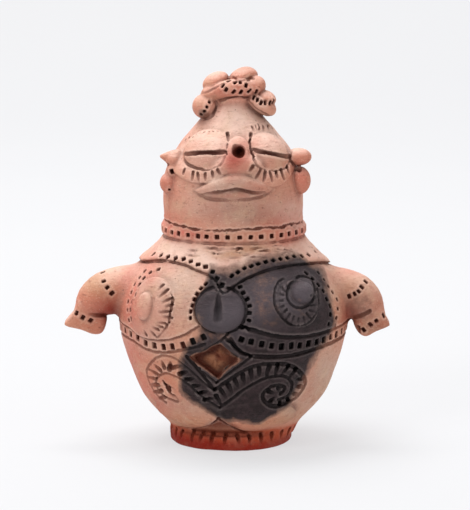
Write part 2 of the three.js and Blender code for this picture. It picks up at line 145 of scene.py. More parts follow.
def lattice_noise(axes, cell, rng):
    """Smooth noise between about -1 and 1 on an open grid, cell millimetres across."""
    weights = []
    sizes = []
    for axis in axes:
        u = (axis - axis[0]) / cell
        count = int(u[-1]) + 4
        f = u - np.floor(u)
        base = np.floor(u).astype(int)
        w = np.zeros((len(axis), count), np.float32)
        for k, value in enumerate(((1 - f) ** 3 / 6, (3 * f ** 3 - 6 * f ** 2 + 4) / 6,
                                   (-3 * f ** 3 + 3 * f ** 2 + 3 * f + 1) / 6, f ** 3 / 6)):
            w[np.arange(len(axis)), base + k] += value
        weights.append(w)
        sizes.append(count)
    grid = rng.standard_normal(sizes).astype(np.float32) * 1.6
    grid = np.tensordot(weights[0], grid, (1, 0))
    grid = np.moveaxis(np.tensordot(weights[1], grid, (1, 1)), 0, 1)
    return np.moveaxis(np.tensordot(weights[2], grid, (1, 2)), 0, 2)


# The block of clay

class Clay:
    def __init__(self, low, high, step):
        self.step = step
        self.low = np.asarray(low, float)
        self.axes = [np.arange(a, b, step, dtype=np.float32) for a, b in zip(low, high)]
        self.field = np.full([len(a) for a in self.axes], 30, np.float32)

    def window(self, low, high):
        cuts, grid = [], []
        for k, axis in enumerate(self.axes):
            a = max(0, int((low[k] - self.low[k]) / self.step))
            b = min(len(axis), int((high[k] - self.low[k]) / self.step) + 2)
            shape = [1, 1, 1]
            shape[k] = -1
            cuts.append(slice(a, max(a, b)))
            grid.append(axis[a:b].reshape(shape))
        return tuple(cuts), grid

    def around(self, centre, reach):
        return self.window(np.asarray(centre) - reach, np.asarray(centre) + reach)

    def add(self, cuts, distance, blend):
        self.field[cuts] = smooth_min(self.field[cuts], distance, blend)

    def cut(self, cuts, distance, blend):
        self.field[cuts] = -smooth_min(-self.field[cuts], distance, blend)

    def sample(self, points, field=None):
        field = self.field if field is None else field
        u = (np.asarray(points, float) - self.low) / self.step
        u = np.clip(u, 0, np.array(field.shape) - 1.001)
        i = u.astype(int)
        f = u - i
        total = 0
        for k in range(8):
            o = np.array([k >> 2 & 1, k >> 1 & 1, k & 1])
            w = np.prod(np.where(o, f, 1 - f), axis=-1)
            j = i + o
            total = total + w * field[j[..., 0], j[..., 1], j[..., 2]]
        return total

    def normals(self, points, reach=0.7, field=None):
        grad = np.stack([self.sample(points + reach * e, field) - self.sample(points - reach * e, field)
                         for e in np.eye(3)], -1)
        return unit(grad)

    def cast(self, start, aim, length, leaving=False):
        """The skin along rays: where they enter the clay, or where they leave it."""
        t = np.arange(0, length, RAY_STEP)
        path = start[:, None] + aim[:, None] * t[None, :, None]
        depth = self.sample(path)
        hit = depth > 0 if leaving else depth < 0
        first = np.maximum(hit.argmax(axis=1), 1)
        rows = np.arange(len(start))
        a, b = depth[rows, first - 1], depth[rows, first]
        s = t[first - 1] + RAY_STEP * np.clip(a / np.where(a == b, 1, a - b), 0, 1)
        points = start + aim * s[:, None]
        return points, self.normals(points)


clay = Clay((-69, -46, -1.2), (67, 45, 152.5), STEP)
# Painted shade: how much darker the colour is painted in the hollows that the tools leave, where shade falls.
pit_shade = np.zeros_like(clay.field)     # where a tool went in deep and left a dark hollow
X, Y, Z = [axis.reshape([-1 if k == j else 1 for k in range(3)]) for j, axis in enumerate(clay.axes)]


def on_front(places):
    """The skin at places (x, z) in hundredths, seen from the front."""
    places = np.atleast_2d(np.asarray(places, float)) * P
    start = np.stack([places[:, 0], np.full(len(places), -44.0), places[:, 1]], 1)
    return clay.cast(start, np.tile([0, 1, 0], (len(places), 1)), 80)


def on_round(places, middle=TORSO["middle"]):
    """The skin at places (degrees from the front, z), from the inside out, so behind the hands."""
    places = np.atleast_2d(np.asarray(places, float))
    angle = np.radians(places[:, 0])
    aim = np.stack([np.sin(angle), -np.cos(angle), np.zeros(len(angle))], 1)
    start = np.stack([np.full(len(angle), middle), np.zeros(len(angle)), places[:, 1] * P], 1)
    return clay.cast(start, aim, 60, leaving=True)


# Adding clay

def radius_table(form):
    curve = catmull(form["profile"])
    return np.interp(Z, curve[:, 1] * P, curve[:, 0] * P).astype(np.float32)


def turned_form(form):
    """A body turned about an upright axis, then flattened front to back."""
    radius = radius_table(form)
    slope = np.gradient(radius.ravel(), STEP).reshape(1, 1, -1)
    rho = np.sqrt((X - form["middle"]) ** 2 + (Y / form["depth"]) ** 2)
    low, high = form["profile"][0][1] * P, form["profile"][-1][1] * P
    side = (rho - radius) / np.sqrt(1 + slope ** 2)
    return np.maximum(side, np.maximum(low - Z, Z - high)).astype(np.float32)


def along_axes(axes, centre, x, y, z):
    """How far grid points lie from a centre along each of some axes."""
    q = [x - centre[0], y - centre[1], z - centre[2]]
    return [q[0] * axis[0] + q[1] * axis[1] + q[2] * axis[2] for axis in axes]


def rounded(a, b, radius):
    """Inside both of two edges, with a rounded corner. The distances are to edges moved in by radius."""
    return np.sqrt(np.maximum(a, 0) ** 2 + np.maximum(b, 0) ** 2) - radius + np.minimum(np.maximum(a, b), 0)


def capsule(grid, a, b, ra, rb):
    """Distance to a rod with round ends from a to b, with a radius at each end."""
    e = b - a
    q = [axis - start for axis, start in zip(grid, a)]
    t = np.clip((q[0] * e[0] + q[1] * e[1] + q[2] * e[2]) / max(e @ e, 1e-9), 0, 1)
    return np.sqrt(sum((q[k] - t * e[k]) ** 2 for k in range(3))) - (ra + (rb - ra) * t)


def ellipsoid(centre, radii, axes=np.eye(3), blend=1.0, cut=False):
    cuts, (x, y, z) = clay.around(centre, max(radii) + 2 * blend + 1)
    k0 = k1 = 0
    for along, r in zip(along_axes(axes, centre, x, y, z), radii):
        k0 = k0 + (along / r) ** 2
        k1 = k1 + (along / r ** 2) ** 2
    k0, k1 = np.sqrt(k0), np.sqrt(k1)
    distance = k0 * (k0 - 1) / np.maximum(k1, 1e-6)
    (clay.cut if cut else clay.add)(cuts, distance, blend)


def skin_axes(normal):
    """Across, up and out of the skin at a point."""
    across = unit(np.cross([0, 0, 1], normal))
    return np.array([across, np.cross(normal, across), normal])


def dome(place, half, rise, blend, sunk=0.5):
    """A dome on the skin. A share of its thickness is sunk in the skin."""
    (point,), (normal,) = on_front(place)
    thick = rise / (1 - sunk)
    spread = math.sqrt(1 - sunk * sunk)
    radii = (half[0] * P / spread, half[1] * P / spread, thick)
    ellipsoid(point - normal * thick * sunk, radii, skin_axes(normal), blend)


def button(place, half, rise, rounding, blend, crown):
    """A disc laid on the skin, with a rounded rim and a slight crown."""
    (point,), (normal,) = on_front(place)
    ra, rb = half[0] * P, half[1] * P
    cuts, (x, y, z) = clay.around(point, max(ra, rb) + rise + 3)
    a, b, c = along_axes(skin_axes(normal), point, x, y, z)
    e = np.sqrt((a / ra) ** 2 + (b / rb) ** 2)
    edge = (e - 1) * min(ra, rb)
    top = c - rise + crown * np.clip(e, 0, 1.4) ** 2
    base = -c - 3.5
    clay.add(cuts, np.maximum(rounded(edge + rounding, top + rounding, rounding), base), blend)


def rod(points, radii, blend):
    """A thick curved rod with round ends through points in hundredths. radii are spread evenly."""
    line = even(np.asarray(points, float) * P, 18)
    girth = np.interp(np.linspace(0, 1, 18), np.linspace(0, 1, len(radii)), radii)
    reach = max(radii) + blend + 1
    cuts, grid = clay.window(line.min(0) - reach, line.max(0) + reach)
    ends = zip(line[:-1], line[1:], girth[:-1], girth[1:])
    clay.add(cuts, np.minimum.reduce([capsule(grid, *piece) for piece in ends]), blend)


def slab(outline, middle, half, rounding, blend, thinning):
    """A flat mitten: an outline (x, z) in hundredths with soft edges, thinner towards its bottom."""
    p = catmull(np.asarray(list(outline) + [outline[0]], float) * P, 6)[:-1]
    low = [p[:, 0].min() - 4, middle - half - 4, p[:, 1].min() - 4]
    high = [p[:, 0].max() + 4, middle + half + 4, p[:, 1].max() + 4]
    cuts, (x, y, z) = clay.window(low, high)
    edge = polygon_distance(p, x, z) + rounding
    drop = np.clip((p[:, 1].max() - z) / np.ptp(p[:, 1]), 0, 1)
    face = np.abs(y - middle) - half * (1 - thinning * drop) + rounding
    clay.add(cuts, rounded(edge, face, rounding), blend)


# Cutting clay

def raise_burr(cuts, distance, height):
    """The rim of clay that a tool pushes up beside it."""
    clay.field[cuts] -= height * np.exp(-((distance - 0.45) / 0.4) ** 2)


def stroke(points, normals, width, depth, burr=0.14, lift=(0.0, 0.0), grow=(1.0, 1.0), wobble=0.12,
           sway=0.1, dark=0.0):
    """Drag a round-nosed tool along a line on the skin.

    lift raises the tool off the skin and grow scales its size, at even steps along the line."""
    n = len(points)
    s = np.linspace(0, 1, n)
    across = unit(np.cross(np.gradient(points, axis=0), normals))
    points = points + across * (RNG.uniform(-1, 1, n) * sway)[:, None]
    radius = (width * width / 4 + depth * depth) / (2 * depth)
    rough = 1 + wobble * np.interp(s, np.linspace(0, 1, max(n // 3, 2)),
                                   RNG.uniform(-1, 1, max(n // 3, 2)))
    scale = np.interp(s, np.linspace(0, 1, len(grow)), grow) * rough
    radii = radius * scale
    up = (radius - depth) * scale + np.interp(s, np.linspace(0, 1, len(lift)), lift)
    line = points + normals * up[:, None]
    reach = radii.max() + 1.3
    cuts, _ = clay.window(line.min(0) - reach, line.max(0) + reach)
    best = np.full(clay.field[cuts].shape, 9, np.float32)
    for a, b, ra, rb in zip(line[:-1], line[1:], radii[:-1], radii[1:]):
        inner, near = clay.window(np.minimum(a, b) - reach, np.maximum(a, b) + reach)
        local = tuple(slice(i.start - c.start, i.stop - c.start) for i, c in zip(inner, cuts))
        best[local] = np.minimum(best[local], capsule(near, a, b, ra, rb))
    if burr:
        raise_burr(cuts, best, burr)
    # Painted shade in the bottom of the groove, by the amount dark.
    if dark:
        pit_shade[cuts] = np.maximum(pit_shade[cuts], dark * smoothstep(0.3, -0.05, best))
    clay.cut(cuts, best, 0.12)


def line_cut(places, width, depth, finder=on_front, spacing=0.9, **options):
    """A continuous line through places."""
    rough = catmull(places) if len(places) > 2 else np.asarray(places, float)
    if finder is on_round:
        length = np.linalg.norm(np.diff(rough * [math.radians(45), P], axis=0), axis=1).sum()
    else:
        length = np.linalg.norm(np.diff(rough, axis=0), axis=1).sum() * P
    points, normals = finder(even(places, max(3, int(length / spacing))))
    stroke(points, normals, width, depth, **options)


def punch(point, normal, ahead, size, depth, burr=0.16):
    """Press a square-ended stick in, its sides along and across a direction, leaning a little."""
    size = np.array(size) * RNG.uniform(0.9, 1.1, 2)
    depth = depth * RNG.uniform(0.85, 1.15)
    lean = RNG.uniform(-0.14, 0.14, 2)
    across = unit(np.cross(ahead, normal))
    ahead = np.cross(normal, across)
    turn = RNG.uniform(-0.12, 0.12)
    axes = [math.cos(turn) * ahead + math.sin(turn) * across,
            math.cos(turn) * across - math.sin(turn) * ahead, normal]
    cuts, (x, y, z) = clay.around(point, max(size) / 2 + depth + 1.4)
    a, b, c = along_axes(axes, point, x, y, z)
    a, b = a + lean[0] * c, b + lean[1] * c
    corner = 0.18
    half = [size[0] / 2 - corner + 0.1 * c, size[1] / 2 - corner + 0.1 * c]
    d = [np.abs(a) - half[0], np.abs(b) - half[1], -(c + depth - corner)]
    outer = np.sqrt(sum(np.maximum(v, 0) ** 2 for v in d))
    distance = outer + np.minimum(np.maximum(np.maximum(d[0], d[1]), d[2]), 0) - corner
    raise_burr(cuts, distance, burr)
    # Painted shade, darker towards the bottom of the pit.
    pit_shade[cuts] = np.maximum(pit_shade[cuts], smoothstep(0.35, -0.05, distance) * smoothstep(-0.1, -0.6, c))
    clay.cut(cuts, distance, 0.1)


def dots(places, count, size=(STYLUS, STYLUS), depth=DOT_DEPTH, finder=on_front, jitter=0.25, turn=0.0):
    """A row of punched marks at even spacing, turned from the row by an angle."""
    spots = even(places, count)
    points, normals = finder(spots)
    tangents = unit(np.gradient(points, axis=0))
    tangents = tangents * math.cos(turn) + np.cross(normals, tangents) * math.sin(turn)
    for point, normal, ahead in zip(points, normals, tangents):
        shift = RNG.uniform(-jitter, jitter, 3)
        shift -= normal * (shift @ normal)
        punch(point + shift, normal, ahead, size, depth)


def marks(pairs, width, depth, lift=(0.0, 0.3), grow=(1.0, 0.7), burr=0.05, finder=on_front, dark=0.0):
    """Single strokes, each from one place to another."""
    for start, end in pairs:
        points, normals = finder(np.linspace(start, end, 5))
        stroke(points, normals, width, depth, burr=burr, lift=lift, grow=grow, dark=dark)


def ticks(places, count, length, width, depth, slant=0.0, lift=(0.0, 0.35), **options):
    """Strokes across a line at even spacing, deep where they start and fading where they end."""
    curve = even(places, count)
    tangent = unit(np.gradient(curve, axis=0))
    for place, along in zip(curve, tangent):
        angle = math.pi / 2 + slant + RNG.uniform(-0.15, 0.15)
        c, s = math.cos(angle), math.sin(angle)
        way = np.array([c * along[0] - s * along[1], s * along[0] + c * along[1]])
        reach = length / 2 * RNG.uniform(0.85, 1.15)
        marks([(place + way * reach, place - way * reach)], width, depth, lift=lift, **options)


def recess(outline, depth, blend):
    """Lower the front of the skin inside an outline by depth."""
    p = np.asarray(outline, float) * P
    low = [p[:, 0].min() - 2, -46, p[:, 1].min() - 2]
    high = [p[:, 0].max() + 2, 0, p[:, 1].max() + 2]
    cuts, (x, y, z) = clay.window(low, high)
    edge = polygon_distance(p, x, z)
    clay.cut(cuts, np.maximum(edge, -(uncut[cuts] + depth)), blend)


# Body

def bearing():
    """Degrees from the front, round the middle of the body."""
    return np.degrees(np.arctan2(X - TORSO["middle"], -Y))


def build_body():
    clay.field = turned_form(TORSO)
    angle = bearing()
    edge_line = catmull(YOKE_EDGE)
    edge = np.interp(angle, edge_line[:, 0], edge_line[:, 1]) * P
    wave = lattice_noise(clay.axes[:2] + [clay.axes[2][:1]], 7, RNG)[:, :, :1]
    over = smoothstep(-0.3, 0.3, Z - edge - 0.35 * wave)
    below_neck = smoothstep(0, 5 * P, 57 * P - Z)
    lip = np.exp(-((Z - edge - 1.2) / 1.6) ** 2)
    clay.field -= (YOKE_RELIEF * over * (0.55 + 0.45 * lip) * below_neck).astype(np.float32)

    side = np.sqrt(X ** 2 + Y ** 2) - FOOT_RADIUS + FOOT_EDGE
    end = np.abs(Z - FOOT_HEIGHT / 2) - FOOT_HEIGHT / 2 + FOOT_EDGE
    clay.field = smooth_min(clay.field, rounded(side, end, FOOT_EDGE).astype(np.float32), 1.0)
    clay.field = smooth_min(clay.field, turned_form(HEAD), 1.5)

    middle, half = (COLLAR[0] + COLLAR[1]) / 2 * P, (COLLAR[1] - COLLAR[0]) / 2 * P
    rho = np.sqrt((X - TORSO["middle"]) ** 2 + (Y / TORSO["depth"]) ** 2)
    sway = 0.35 * np.sin(np.radians(angle) * 3 + 1) + 0.2 * np.sin(np.radians(angle) * 7)
    out, up = (rho - NECK_RADIUS * P) / COLLAR_RELIEF, (Z - middle - sway) / half
    ring = (np.sqrt(out ** 2 + np.abs(up) ** 3.0) - 1) * COLLAR_RELIEF
    clay.field = smooth_min(clay.field, ring.astype(np.float32), 0.5)

    for cell, amount in ((24, 0.35), (9, 0.2), (3.2, 0.1), (1.7, 0.05)):
        clay.field += amount * lattice_noise(clay.axes, cell, RNG)


YOKE_EDGE = [
    (-180, 48.6), (-130, 50), (-90, 48.8), (-75, 49.6), (-55, 51), (-38, 50.7), (-29, 50), (-15, 48.4),
    (-6, 45.4), (0, 46.3), (7, 48), (19, 49.4), (36, 50.3), (55, 50.4), (77, 49.3), (95, 47.8), (130, 50),
    (180, 48.6),
]

ARMS = [
    dict(bend=[(-20, -0.5, 40.8), (-29, -0.8, 40.9), (-35.4, -1.4, 38.9), (-37.8, -1.8, 35.4)],
    girth=(1.04, 1.02, 0.94, 0.62), hand=[(-40.4, 38.4), (-41.6, 35.6), (-44.2, 32.4), (-43.6, 31.3),
    (-40, 30.4), (-36.9, 29.2), (-34.6, 29.4), (-33.4, 31.4), (-33.3, 34), (-36, 36.6)],
    crease=[(-37.6, 35.2), (-36, 34.8), (-33.4, 34.6)]), dict(bend=[(21, -0.5, 40.6), (29.5, -0.8, 40.3),
    (34.6, -1.4, 38.3), (36.9, -1.8, 34.6)], girth=(1.04, 1.02, 0.95, 0.66), hand=[(39.6, 36.6),
    (40.8, 34.6), (42.2, 32.1), (41.6, 31.2), (38.6, 29.9), (36.2, 28.6), (34.4, 29.2), (32.9, 31.6),
    (32.6, 34.6), (35, 36.4)], crease=[(32.2, 34.2), (34.3, 34.7), (36.8, 36)]),
]


def build_arms():
    for arm in ARMS:
        rod(arm["bend"], [ARM_RADIUS * part for part in arm["girth"]], 3.0)
        slab(arm["hand"], -2.0 * P, HAND_THICKNESS / 2, 2.6, 0.9, 0.30)


EYES = [
    dict(middle=(-7, 80), half=(6.2, 5.7), rise=3.4, slit=[(-12, 78.5), (-9.3, 79.2), (-5.5, 79.6),
    (-1.4, 79.7)]), dict(middle=(10.4, 79.4), half=(5.5, 5.4), rise=3.2, slit=[(5.8, 80.1), (8.2, 79.6),
    (12, 78.7), (15.5, 77.4)]),
]
MASK_EDGE = [
    (-18, 76), (-15, 73.6), (-12.4, 72.3), (-9.4, 71.6), (-6, 71.9), (-3.2, 73), (-1, 74.2), (1.8, 74.9),
    (4.4, 74.2), (6.3, 72.9), (9.1, 70.9), (12, 70.7), (14.6, 71.9), (18.5, 76),
]


def build_mask():
    """The upper face stands off the lower one, with a ledge along its lower edge."""
    edge_line = catmull(MASK_EDGE)
    edge = np.interp(X, edge_line[:, 0] * P, edge_line[:, 1] * P)
    over = smoothstep(-0.45, 0.45, Z - edge) * smoothstep(11.0, 3.0, Z - edge)
    front = smoothstep(-4.0, -12.0, Y) * smoothstep(18.5 * P, 14 * P, np.abs(X))
    clay.field -= (1.5 * over * front).astype(np.float32)


def build_head():
    for eye in EYES:
        dome(eye["middle"], eye["half"], eye["rise"], blend=0.35)
    button((2, 79.9), (2.9, 4.4), 2.4, 1.7, blend=0.8, crown=0.5)
    dome((2, 76.2), (5.4, 2.6), 2.0, blend=1.8)
    upper = even([(-9.6, 69.3), (-6.4, 70.1), (-3.2, 71.1), (1.9, 72.3), (5.2, 71.5), (8.2, 70.3),
        (11.2, 69.9)], 11)
    found, normals = on_front(upper)
    rod((found - normals * 0.3) / P, [0.6, 1.9, 2.8, 3.3, 3.6, 3.3, 2.8, 1.9, 0.6], 0.4)
    lower = even([(-6.4, 68.9), (-2, 68.9), (2, 69.1), (5.6, 68.9), (8.8, 69)], 7)
    found, normals = on_front(lower)
    rod((found - normals * 0.5) / P, [0.5, 1.3, 1.5, 1.3, 0.5], 0.8)


EARS = [
    ((-14.8, -5.6, 76.6), (2.4, 3.2, 2.2)), ((-16.2, -6.4, 70.4), (2.5, 2.9, 2.8)),
    ((-15.2, -6.6, 73.9), (1.7, 2.4, 2.4)), ((17.8, -5.4, 77.2), (3.4, 3, 2.3)),
    ((18, -5.8, 71), (3, 3, 3.7)),
]


def build_ears():
    for centre, radii in EARS:
        ellipsoid(np.array(centre) * P, np.array(radii) * P, blend=0.5)
    rod([(-14.2, -5.8, 77), (-16.4, -5.6, 77.1), (-18.2, -5.4, 77.3)], [3.3, 2.3, 0.8], 0.6)


def leaning(degrees):
    """Axes turned about the viewing direction, with the right side up."""
    c, s = math.cos(math.radians(degrees)), math.sin(math.radians(degrees))
    return np.array([[c, 0, s], [0, 1, 0], [-s, 0, c]])


KNOBS = [
    ((0.7, 1.6, 92.4), (6.6, 6.4, 4.6), 0), ((-4, 0.4, 96.3), (3.7, 3.9, 2.5), 27),
    ((2.9, 0.4, 97.5), (3.9, 4, 2.5), 26), ((4.7, 0.6, 98.1), (2.4, 3, 1.9), 0),
    ((-4.9, -1.6, 93.6), (3.2, 3.2, 2.3), 20), ((6.5, -1.4, 95.3), (2.6, 3.2, 2.9), -30),
    ((-6.9, -1.8, 90.1), (3.3, 3.9, 3.3), 0), ((8, -1.8, 90.7), (4.4, 4.2, 2.5), -33),
    ((9.3, -1.6, 92.3), (2.7, 3.6, 1.9), -24),
]


def build_hair():
    for centre, radii, turn in KNOBS:
        ellipsoid(np.array(centre) * P, np.array(radii) * P, leaning(turn), blend=0.35)
    rod([(-4.6, -2.6, 93.6), (-1.2, -4, 95), (3, -4.2, 95.3), (6.4, -2.6, 95)], [2.8, 3.3, 3.4, 3], 0.35)


def build_chest():
    """Breasts, the pendant between them, and the edge of the bust over the belt."""
    angle = bearing()
    for belt, sign in zip(BELTS, (-1, 1)):
        line = catmull(belt["upper"])
        line = line[np.argsort(line[:, 0])]
        edge = np.interp(angle, line[:, 0], line[:, 1]) * P
        over = smoothstep(-0.4, 0.4, Z - edge) * smoothstep(12.0, 2.5, Z - edge)
        reach = smoothstep(4, 12, sign * angle) * smoothstep(88, 70, sign * angle)
        clay.field -= (0.9 * over * reach).astype(np.float32)
    dome((-21, 39.2), (6.6, 7.2), 2.2, blend=0.8)
    button((-22.3, 39.9), (2.5, 3.7), 2.1, 1.1, blend=0.15, crown=0.7)
    button((17.6, 41.2), (5.8, 6.2), 1.1, 0.8, blend=0.6, crown=0.2)
    dome(NIPPLE, (3.2, 3.1), 5.2, blend=0.1, sunk=0.12)
    button(PENDANT, (6.4, 5.7), 3.0, 2.0, blend=0.25, crown=1.0)


def build_lobes():
    """Two low swellings where the belly meets the foot."""
    dome((-11.5, 10), (9, 4.6), 1.7, blend=1.2)
    dome((6.4, 9.6), (9.6, 4.8), 1.7, blend=1.2)


BELTS = [
    dict(upper=[(-19, 35.9), (-29, 32.9), (-41, 31.2), (-56, 31.2), (-66, 32.6), (-90, 33.6), (-120, 32.6),
    (-150, 31.8), (-180, 33.4)], lower=[(-16, 31.2), (-26, 29.6), (-42, 27.8), (-54, 28), (-66, 29.4),
    (-90, 29.8), (-120, 28.6), (-150, 27.8), (-180, 29.4)], row=[(-17, 33.2), (-24, 31.4), (-36, 29.8),
    (-49, 29.4), (-66, 31), (-90, 31.7), (-120, 30.6), (-150, 29.8), (-177, 31.3)], count=27, width=1.2,
    depth=0.7), dict(upper=[(3, 36.2), (12, 34.7), (25, 32.9), (39, 32.3), (56, 32.6), (90, 33.6),
    (120, 32.6), (150, 31.8), (180, 33.4)], lower=[(-2, 32.6), (1.7, 30), (7.9, 28.3), (23, 27.4),
    (39, 27.7), (56, 28.8), (90, 29.8), (120, 28.6), (150, 27.8), (180, 29.4)], row=[(3.8, 32.7),
    (8.6, 31.9), (13.6, 31.2), (24.8, 30.3), (37.6, 30.1), (50, 30.3), (61, 30.6), (75, 31.2), (90, 31.7),
    (120, 30.6), (150, 29.8), (175, 31.3)], count=31, width=1.7, depth=1.2),
]


build_body()
build_arms()
build_mask()
build_head()
build_ears()
build_hair()
build_chest()
build_lobes()
uncut = clay.field.copy()


# Ornament

def carve_foot():
    count = 30
    for k in range(count):
        degrees = (k + 0.5) * 360 / count + RNG.uniform(-1.5, 1.5)
        lean = RNG.uniform(-2, 2)
        ends = [(degrees, 4.2), (degrees + lean, RNG.uniform(1.0, 1.8))]
        marks([ends], 1.5, 1.5, lift=(0.0, 1.0), grow=(1.0, 0.5), finder=lambda p: on_round(p, 0.0))


def carve_lobes():
    recess([(-3.2, 10.6), (-5.4, 8.2), (-8, 6.4), (-11, 4.8), (5, 4.8), (2.2, 6.2), (-0.6, 8.2)], 1.0, 0.8)
    (point,), (normal,) = on_front((-3.3, 10.4))
    ellipsoid(point, (0.9, 0.9, 1.8), skin_axes(normal), 0.15, cut=True)
    line_cut([(-3.6, 10), (-6, 7.6), (-9.8, 5.6), (-14, 4.9)], 1.3, 0.8, lift=(0, 0.5))
    line_cut([(-2.9, 9.8), (-0.2, 7.4), (2.8, 5.6), (8, 4.9)], 1.3, 0.8, lift=(0, 0.5))


def carve_collar():
    count = 38
    for k in range(count):
        degrees = (k + 0.5) * 360 / count + RNG.uniform(-1, 1)
        (point,), (normal,) = on_round((degrees, 57.6))
        punch(point, normal, np.array([0, 0, 1.0]), (1.8, 1.85), 1.7, burr=0.22)
    crack = [(d, 59.7 + 0.2 * math.sin(math.radians(3 * d)) + RNG.uniform(-0.2, 0.2))
             for d in range(-180, 181, 9)]
    line_cut(crack, 0.7, 0.7, finder=on_round, burr=0.25, wobble=0.7, sway=0.3)
    line_cut([(d, 55.8) for d in range(-180, 181, 20)], 1.0, 0.4, finder=on_round, burr=0.0, wobble=0.5)
    for _ in range(26):
        x, z = RNG.uniform(-13, 13), RNG.uniform(52.4, 55.2)
        length, fall = RNG.uniform(1.5, 4.5), RNG.uniform(-0.5, 0.3)
        line_cut([(x, z), (x + length / 2, z + fall / 2 + RNG.uniform(-0.15, 0.15)), (x + length, z + fall)],
                 0.9, 0.5, lift=(0.5, 0.0, 0.5), wobble=0.5, sway=0.25, burr=0.25, dark=0.35)


def carve_yoke():
    lip = [(a, z - 0.45) for a, z in YOKE_EDGE if abs(a) < 100]
    line_cut(lip, 1.0, 0.7, finder=on_round, burr=0.0, wobble=0.4, sway=0.15)
    dots([(-22.4, 51.3), (-21.1, 51.4), (-16.5, 51.9), (-12.1, 51.8), (-8.1, 50.8), (-5.6, 50.1),
        (-4.2, 48.5), (-2.2, 46.5)], 12, (1.9, 2), 1.7, turn=0.6)
    dots([(0.2, 48.4), (3.5, 50.2), (8.1, 51.4), (14.4, 52.1), (18.5, 51.8), (22.4, 51.6)], 13, (2, 1.6),
        1.6, turn=0.3)
    dots([(-94, 51.4), (-110, 52.4), (-135, 52.2), (-160, 51.2), (-180, 50.6)], 10, (1.8, 1.8),
        finder=on_round)
    dots([(94, 51.2), (110, 52.4), (135, 52.2), (160, 51.2), (176, 50.6)], 10, (1.8, 1.8), finder=on_round)


LEFT_RAYS = [
    ((-17.5, 45.7), (-18.9, 44.4)), ((-16.3, 44.6), (-18.7, 42.6)), ((-15.2, 42.7), (-17.8, 41.3)),
    ((-15.6, 39.2), (-18.6, 38.9)), ((-16.4, 36), (-19.1, 36.1)), ((-18.7, 34.2), (-20.3, 34.8)),
    ((-19.6, 32.4), (-21.1, 33.8)), ((-22, 32.2), (-22.6, 33.4)), ((-15, 41), (-16.9, 40.4)),
    ((-15.3, 37.6), (-17.4, 37.8)), ((-17.4, 34.9), (-19.4, 35.4)),
]
RIGHT_RIM = [
    (13.6, 47.2), (12.2, 46.4), (11.4, 44.2), (11.7, 40.4), (14.4, 36.8), (17.5, 35.6), (20, 36),
    (22.2, 38.2), (22.9, 41), (22.6, 44),
]


def carve_chest():
    marks(LEFT_RAYS, 0.9, 1.0, lift=(0, 0.5), burr=0.1)
    line_cut([(-15.6, 44), (-14.9, 42.1), (-15.3, 40.8), (-15.8, 37.6), (-16.2, 36), (-17.8, 33.6),
        (-19.4, 31.9)], 0.7, 0.45, wobble=0.6, sway=0.3)
    line_cut(RIGHT_RIM, 0.9, 0.6, wobble=0.3, sway=0.15)
    rays = [(17.9 + (x - 17.9) * 0.83, 41.5 + (z - 41.5) * 0.83) for x, z in RIGHT_RIM]
    ticks(rays, 15, 2.3, 0.8, 0.8, lift=(0.2, 0.5), burr=0.1)
    line_cut(arc(NIPPLE, 3.7, 3.6, 0.4, 2 * math.pi + 0.4, 13), 0.9, 0.8, burr=0.0)
    small = dict(size=(1.8, 1.5), depth=1.4)
    tiny = dict(size=(1.5, 1.2), depth=1.1)
    dots([(-19.1, 48.4), (-20.9, 47.6), (-22.8, 45.9), (-24.2, 43.9), (-25.2, 41.6), (-26.3, 38.6),
        (-26.1, 35.4)], 8, **small)
    dots([(-22.6, 47.4), (-24.1, 45.6), (-25.6, 43.5), (-26.6, 41), (-27.2, 37.9), (-26.9, 35)], 7, **tiny)
    dots([(19.7, 47.7), (21.4, 46.3), (23.8, 43.5), (25.8, 39.4), (26.2, 36.8), (25.7, 34.7)], 8, **small)
    dots([(23, 47.3), (24.7, 45.1), (26.7, 42.1), (28.2, 39.2), (27.7, 35.5), (27.4, 33.7)], 8, **tiny)
    dots([(-6.5, 46.4), (-8.7, 44.2), (-10.2, 41), (-10.4, 37.9)], 7, (1.8, 1.3), 1.5)
    dots([(2.3, 46), (4.1, 43), (4.9, 41.4), (4.7, 38), (4, 36)], 7, (1.5, 2), 1.5)
    cleft, normals = on_front(np.linspace((-3.2, 44.8), (-3.3, 38.4), 8))
    stroke(cleft, normals, 2.6, 2.4, burr=0.0, lift=(0.4, 0.4, 1.8), grow=(0.3, 0.8, 1.3), dark=0.25)
    marks([((-4.4, 45.6), (-1.2, 44.6)), ((-3.4, 46.2), (-2, 44.4))], 0.9, 0.7)
    for sign in (-1, 1):
        line_cut(arc(PENDANT, sign * 6.7, 5.9, 0.3, 2.9, 7), 1.2, 0.8, burr=0.0)


def carve_belts():
    for belt in BELTS:
        for name in ("upper", "lower"):
            line_cut(belt[name], belt["width"], belt["depth"], finder=on_round, spacing=1.1)
        dots(belt["row"], belt["count"], (2.1, 2.6), 1.9, finder=on_round)


DIAMOND = [(-9.6, 27.2), (-2.9, 31.4), (1.9, 27.8), (-3.6, 21.8)]


